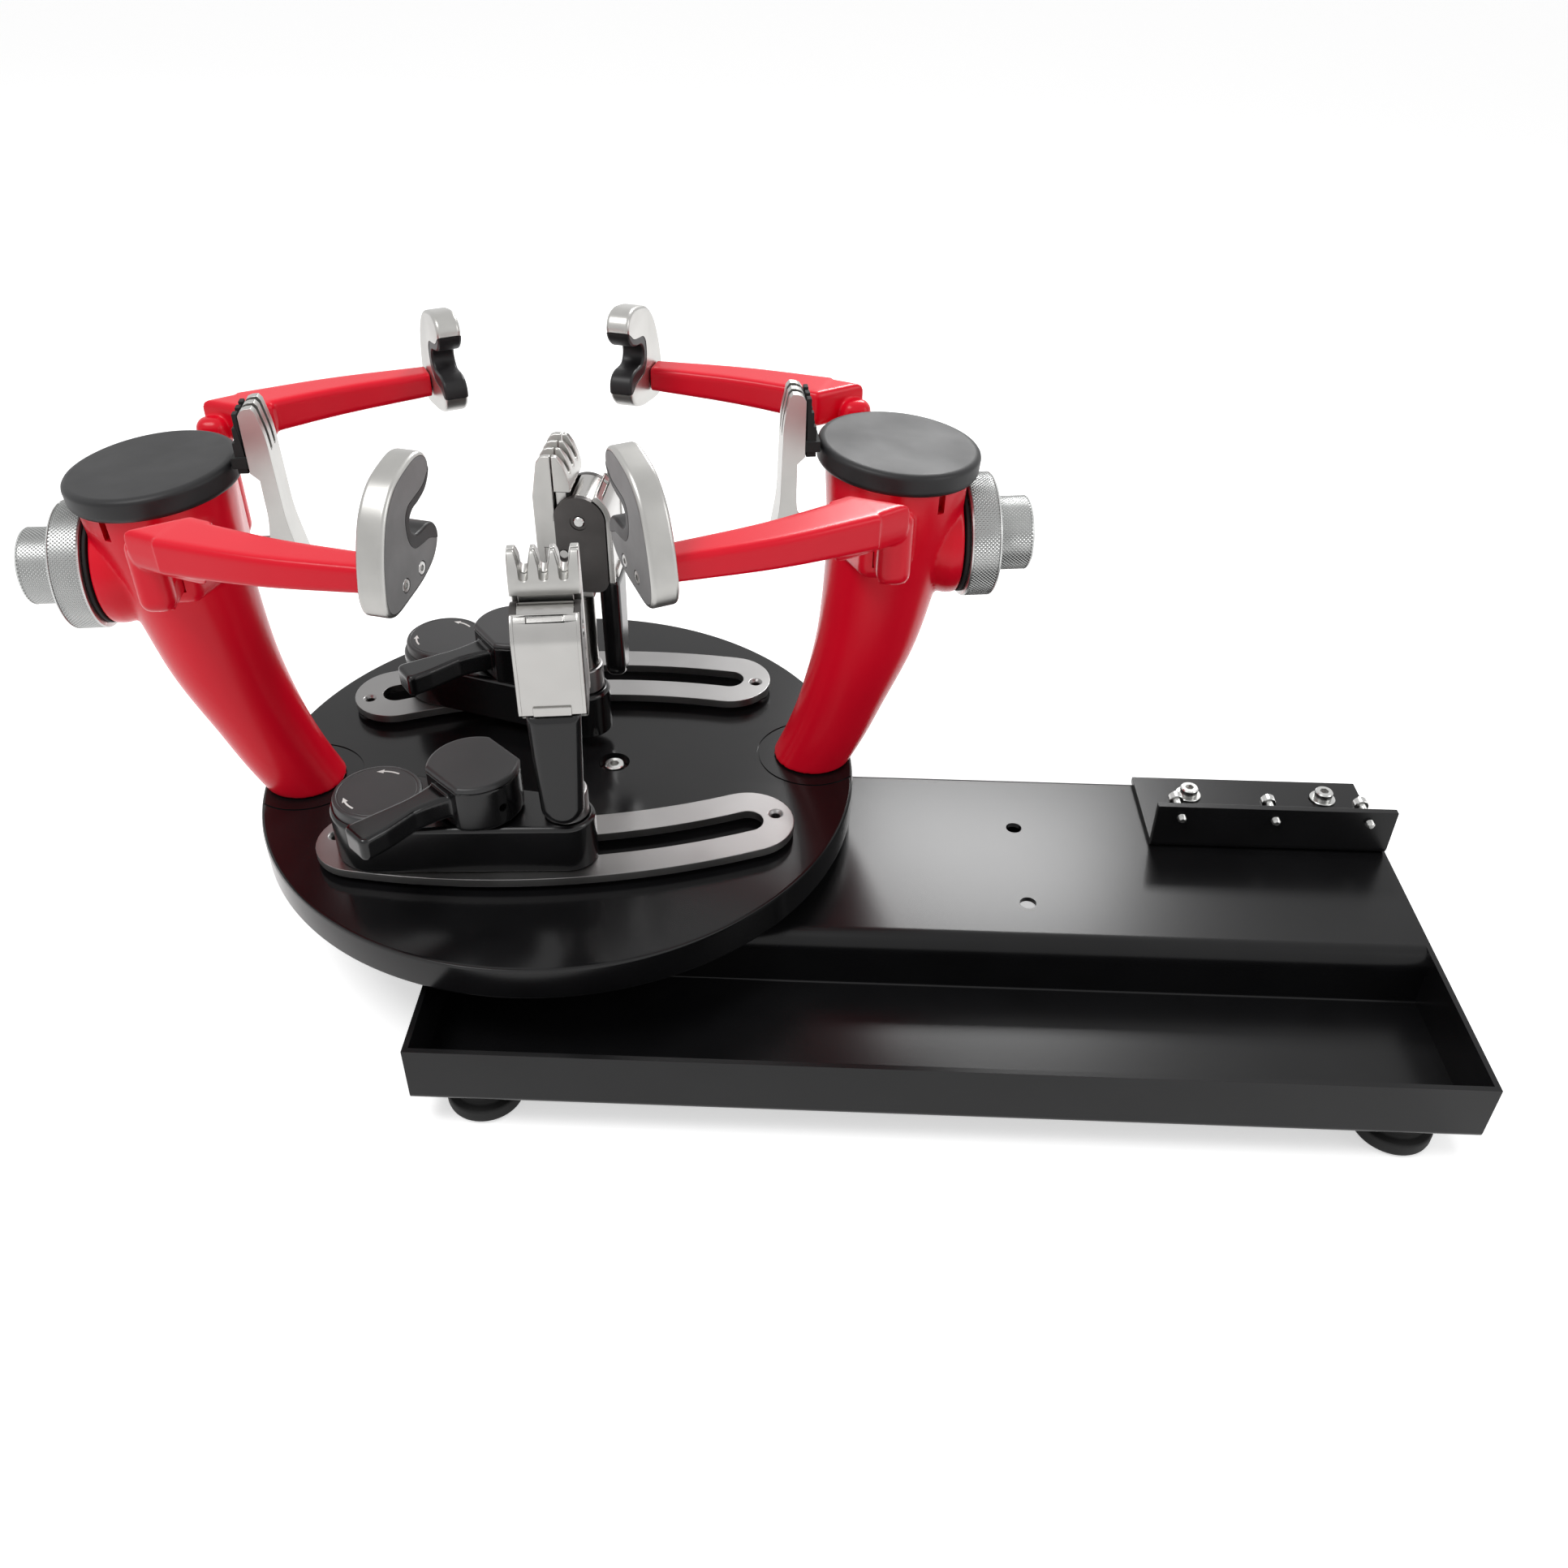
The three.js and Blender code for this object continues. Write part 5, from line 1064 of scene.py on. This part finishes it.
def make_clamp_head(name, post):
    head = f"{name}_clamp_body"
    dress(body_form(), f"jaw_body_{name}", head, post)
    for side, hand in ((-1, "a"), (1, "b")):
        add(cheek_form(side), f"cheek_{hand}_{name}", head, "cheek", post)
    bridge = bevelled(prism(about_pin(CHEEK_RADIUS, 10.9, 50, 104, 24), -11.6, 11.6, "YZ"), 0.3, 2, 35)
    add(bridge, f"head_bridge_{name}", head, "chrome", post)
    dress(jaw_form(), f"moving_jaw_{name}", f"{name}_clamp_jaw", post)
    dress(lever_form(), f"lever_{name}", f"{name}_clamp_lever", post)
    pivot = lathe([(0, -14.9), (2.1, -14.9), (2.5, -14.5), (2.5, 14.5), (2.1, 14.9), (0, 14.9)], 40, "X")
    dress(moved(pivot, 0, *LEVER_PIN), f"pin_{name}", f"{name}_lever_pin", post)
    grip = stacked(grip_outline, 13.4, 23.4, 3.2, 4.2, "XZ")
    dress(grip, f"grip_{name}", f"{name}_lever_grip", post, sharp=60)


def make_clamps():
    for name, spec in CLAMPS.items():
        y = spec["side"] * (sqrt(TRACK["radius"] ** 2 - spec["x"] ** 2) - TRACK_CENTRE)
        base = TABLE @ shifted(spec["x"], y) @ turned_z(spec["base"])
        lock = base @ shifted(LOCK_X, 0) @ turned_z(spec["lock"])
        post = base @ shifted(POST_X, 0) @ turned_z(spec["head"])
        make_clamp_base(name, base, lock, post)
        make_clamp_head(name, post)


make_clamps()


# Camera as solved from the photo: angles in radians, focal length and centre in the photo's pixels
CAMERA = {"yaw": -0.0332055, "pitch": 0.640159, "roll": 0.0101665, "focal": 1708.585, "sensor": 36}
CAMERA_PLACE = (-64.698, -504.492, 503.565)
PHOTO_WIDTH, PHOTO_CENTRE = 1932, (943.698, 949.369)


def make_camera():
    yaw, pitch, roll = CAMERA["yaw"], CAMERA["pitch"], CAMERA["roll"]
    ahead = Vector((sin(yaw) * cos(pitch), cos(yaw) * cos(pitch), -sin(pitch)))
    across = Vector((cos(yaw), -sin(yaw), 0))
    upward = across.cross(ahead)
    right = across * cos(roll) + upward * sin(roll)
    up = upward * cos(roll) - across * sin(roll)
    data = bpy.data.cameras.new("camera")
    middle, (x, y) = PHOTO_WIDTH / 2, PHOTO_CENTRE
    data.sensor_width, data.lens = CAMERA["sensor"], CAMERA["sensor"] * CAMERA["focal"] / PHOTO_WIDTH
    data.shift_x, data.shift_y = (middle - x) / PHOTO_WIDTH, (y - middle) / PHOTO_WIDTH
    data.clip_start, data.clip_end = 0.01, 20
    camera = bpy.data.objects.new("camera", data)
    scene.collection.objects.link(camera)
    turn = Matrix((right, up, -ahead)).transposed().to_4x4()
    camera.matrix_world = Matrix.Translation(BASE @ Vector(CAMERA_PLACE)) @ turn
    scene.camera = camera


# Floor and light, in metres and watts
FLOOR = {"half": 6, "depth": 0.0004, "color": (0.9, 0.9, 0.9, 1), "rough": 0.9, "glow": 0.55}
WORLD_LIGHT, WORLD_SEEN = 0.42, 1.0


def seen_directly(nodes, links):
    """1 for rays from the camera, and for those off gloss and through glass; 0 for the light on surfaces."""
    path = nodes.new("ShaderNodeLightPath")
    total = path.outputs["Is Camera Ray"]
    for kind in ("Is Glossy Ray", "Is Transmission Ray"):
        plus = nodes.new("ShaderNodeMath")
        plus.operation, plus.use_clamp = "ADD", True
        links.new(total, plus.inputs[0])
        links.new(path.outputs[kind], plus.inputs[1])
        total = plus.outputs[0]
    return total


def make_floor():
    half = FLOOR["half"]
    corners = [(-half, -half, 0), (half, -half, 0), (half, half, 0), (-half, half, 0)]
    floor = moved(solid(corners, [(0, 1, 2, 3)], "floor"), 0, 0, -FLOOR["depth"])
    made = bpy.data.materials.new("floor_white")
    made.use_nodes = True
    nodes, links = made.node_tree.nodes, made.node_tree.links
    shader, output = nodes["Principled BSDF"], nodes["Material Output"]
    put(shader, {"Base Color": FLOOR["color"], "Roughness": FLOOR["rough"]})
    glow = nodes.new("ShaderNodeEmission")
    put(glow, {"Color": (1, 1, 1, 1), "Strength": FLOOR["glow"]})
    mix, gate = nodes.new("ShaderNodeAddShader"), nodes.new("ShaderNodeMixShader")
    links.new(shader.outputs[0], mix.inputs[0])
    links.new(glow.outputs[0], mix.inputs[1])
    links.new(seen_directly(nodes, links), gate.inputs[0])
    links.new(shader.outputs[0], gate.inputs[1])
    links.new(mix.outputs[0], gate.inputs[2])
    links.new(gate.outputs[0], output.inputs["Surface"])
    floor.data.materials.append(made)


def make_world():
    world = bpy.data.worlds.new("studio")
    scene.world = world
    world.use_nodes = True
    nodes, links = world.node_tree.nodes, world.node_tree.links
    background = nodes["Background"]
    put(background, {"Color": (1, 1, 1, 1)})
    spread = nodes.new("ShaderNodeMapRange")
    links.new(seen_directly(nodes, links), spread.inputs["Value"])
    put(spread, {"To Min": WORLD_LIGHT, "To Max": WORLD_SEEN})
    links.new(spread.outputs["Result"], background.inputs["Strength"])


def make_lamp(name, place, target, size, power):
    data = bpy.data.lights.new(name, "AREA")
    data.shape, data.size, data.size_y, data.energy = "RECTANGLE", *size, power
    lamp = bpy.data.objects.new(name, data)
    scene.collection.objects.link(lamp)
    lamp.location = place
    lamp.rotation_euler = (Vector(target) - Vector(place)).to_track_quat("-Z", "Y").to_euler()


make_camera()
make_floor()
make_world()
make_lamp("key", (-0.6, -0.5, 1.5), (0, 0, 0.1), (0.7, 0.5), 10)
make_lamp("rear", (0.3, 1.1, 1.0), (0.08, 0.05, 0.05), (0.42, 0.2), 9)
make_lamp("side", (1.4, -0.5, 0.9), (0, 0, 0.15), (0.5, 0.9), 4)
scene.view_settings.view_transform = "Standard"
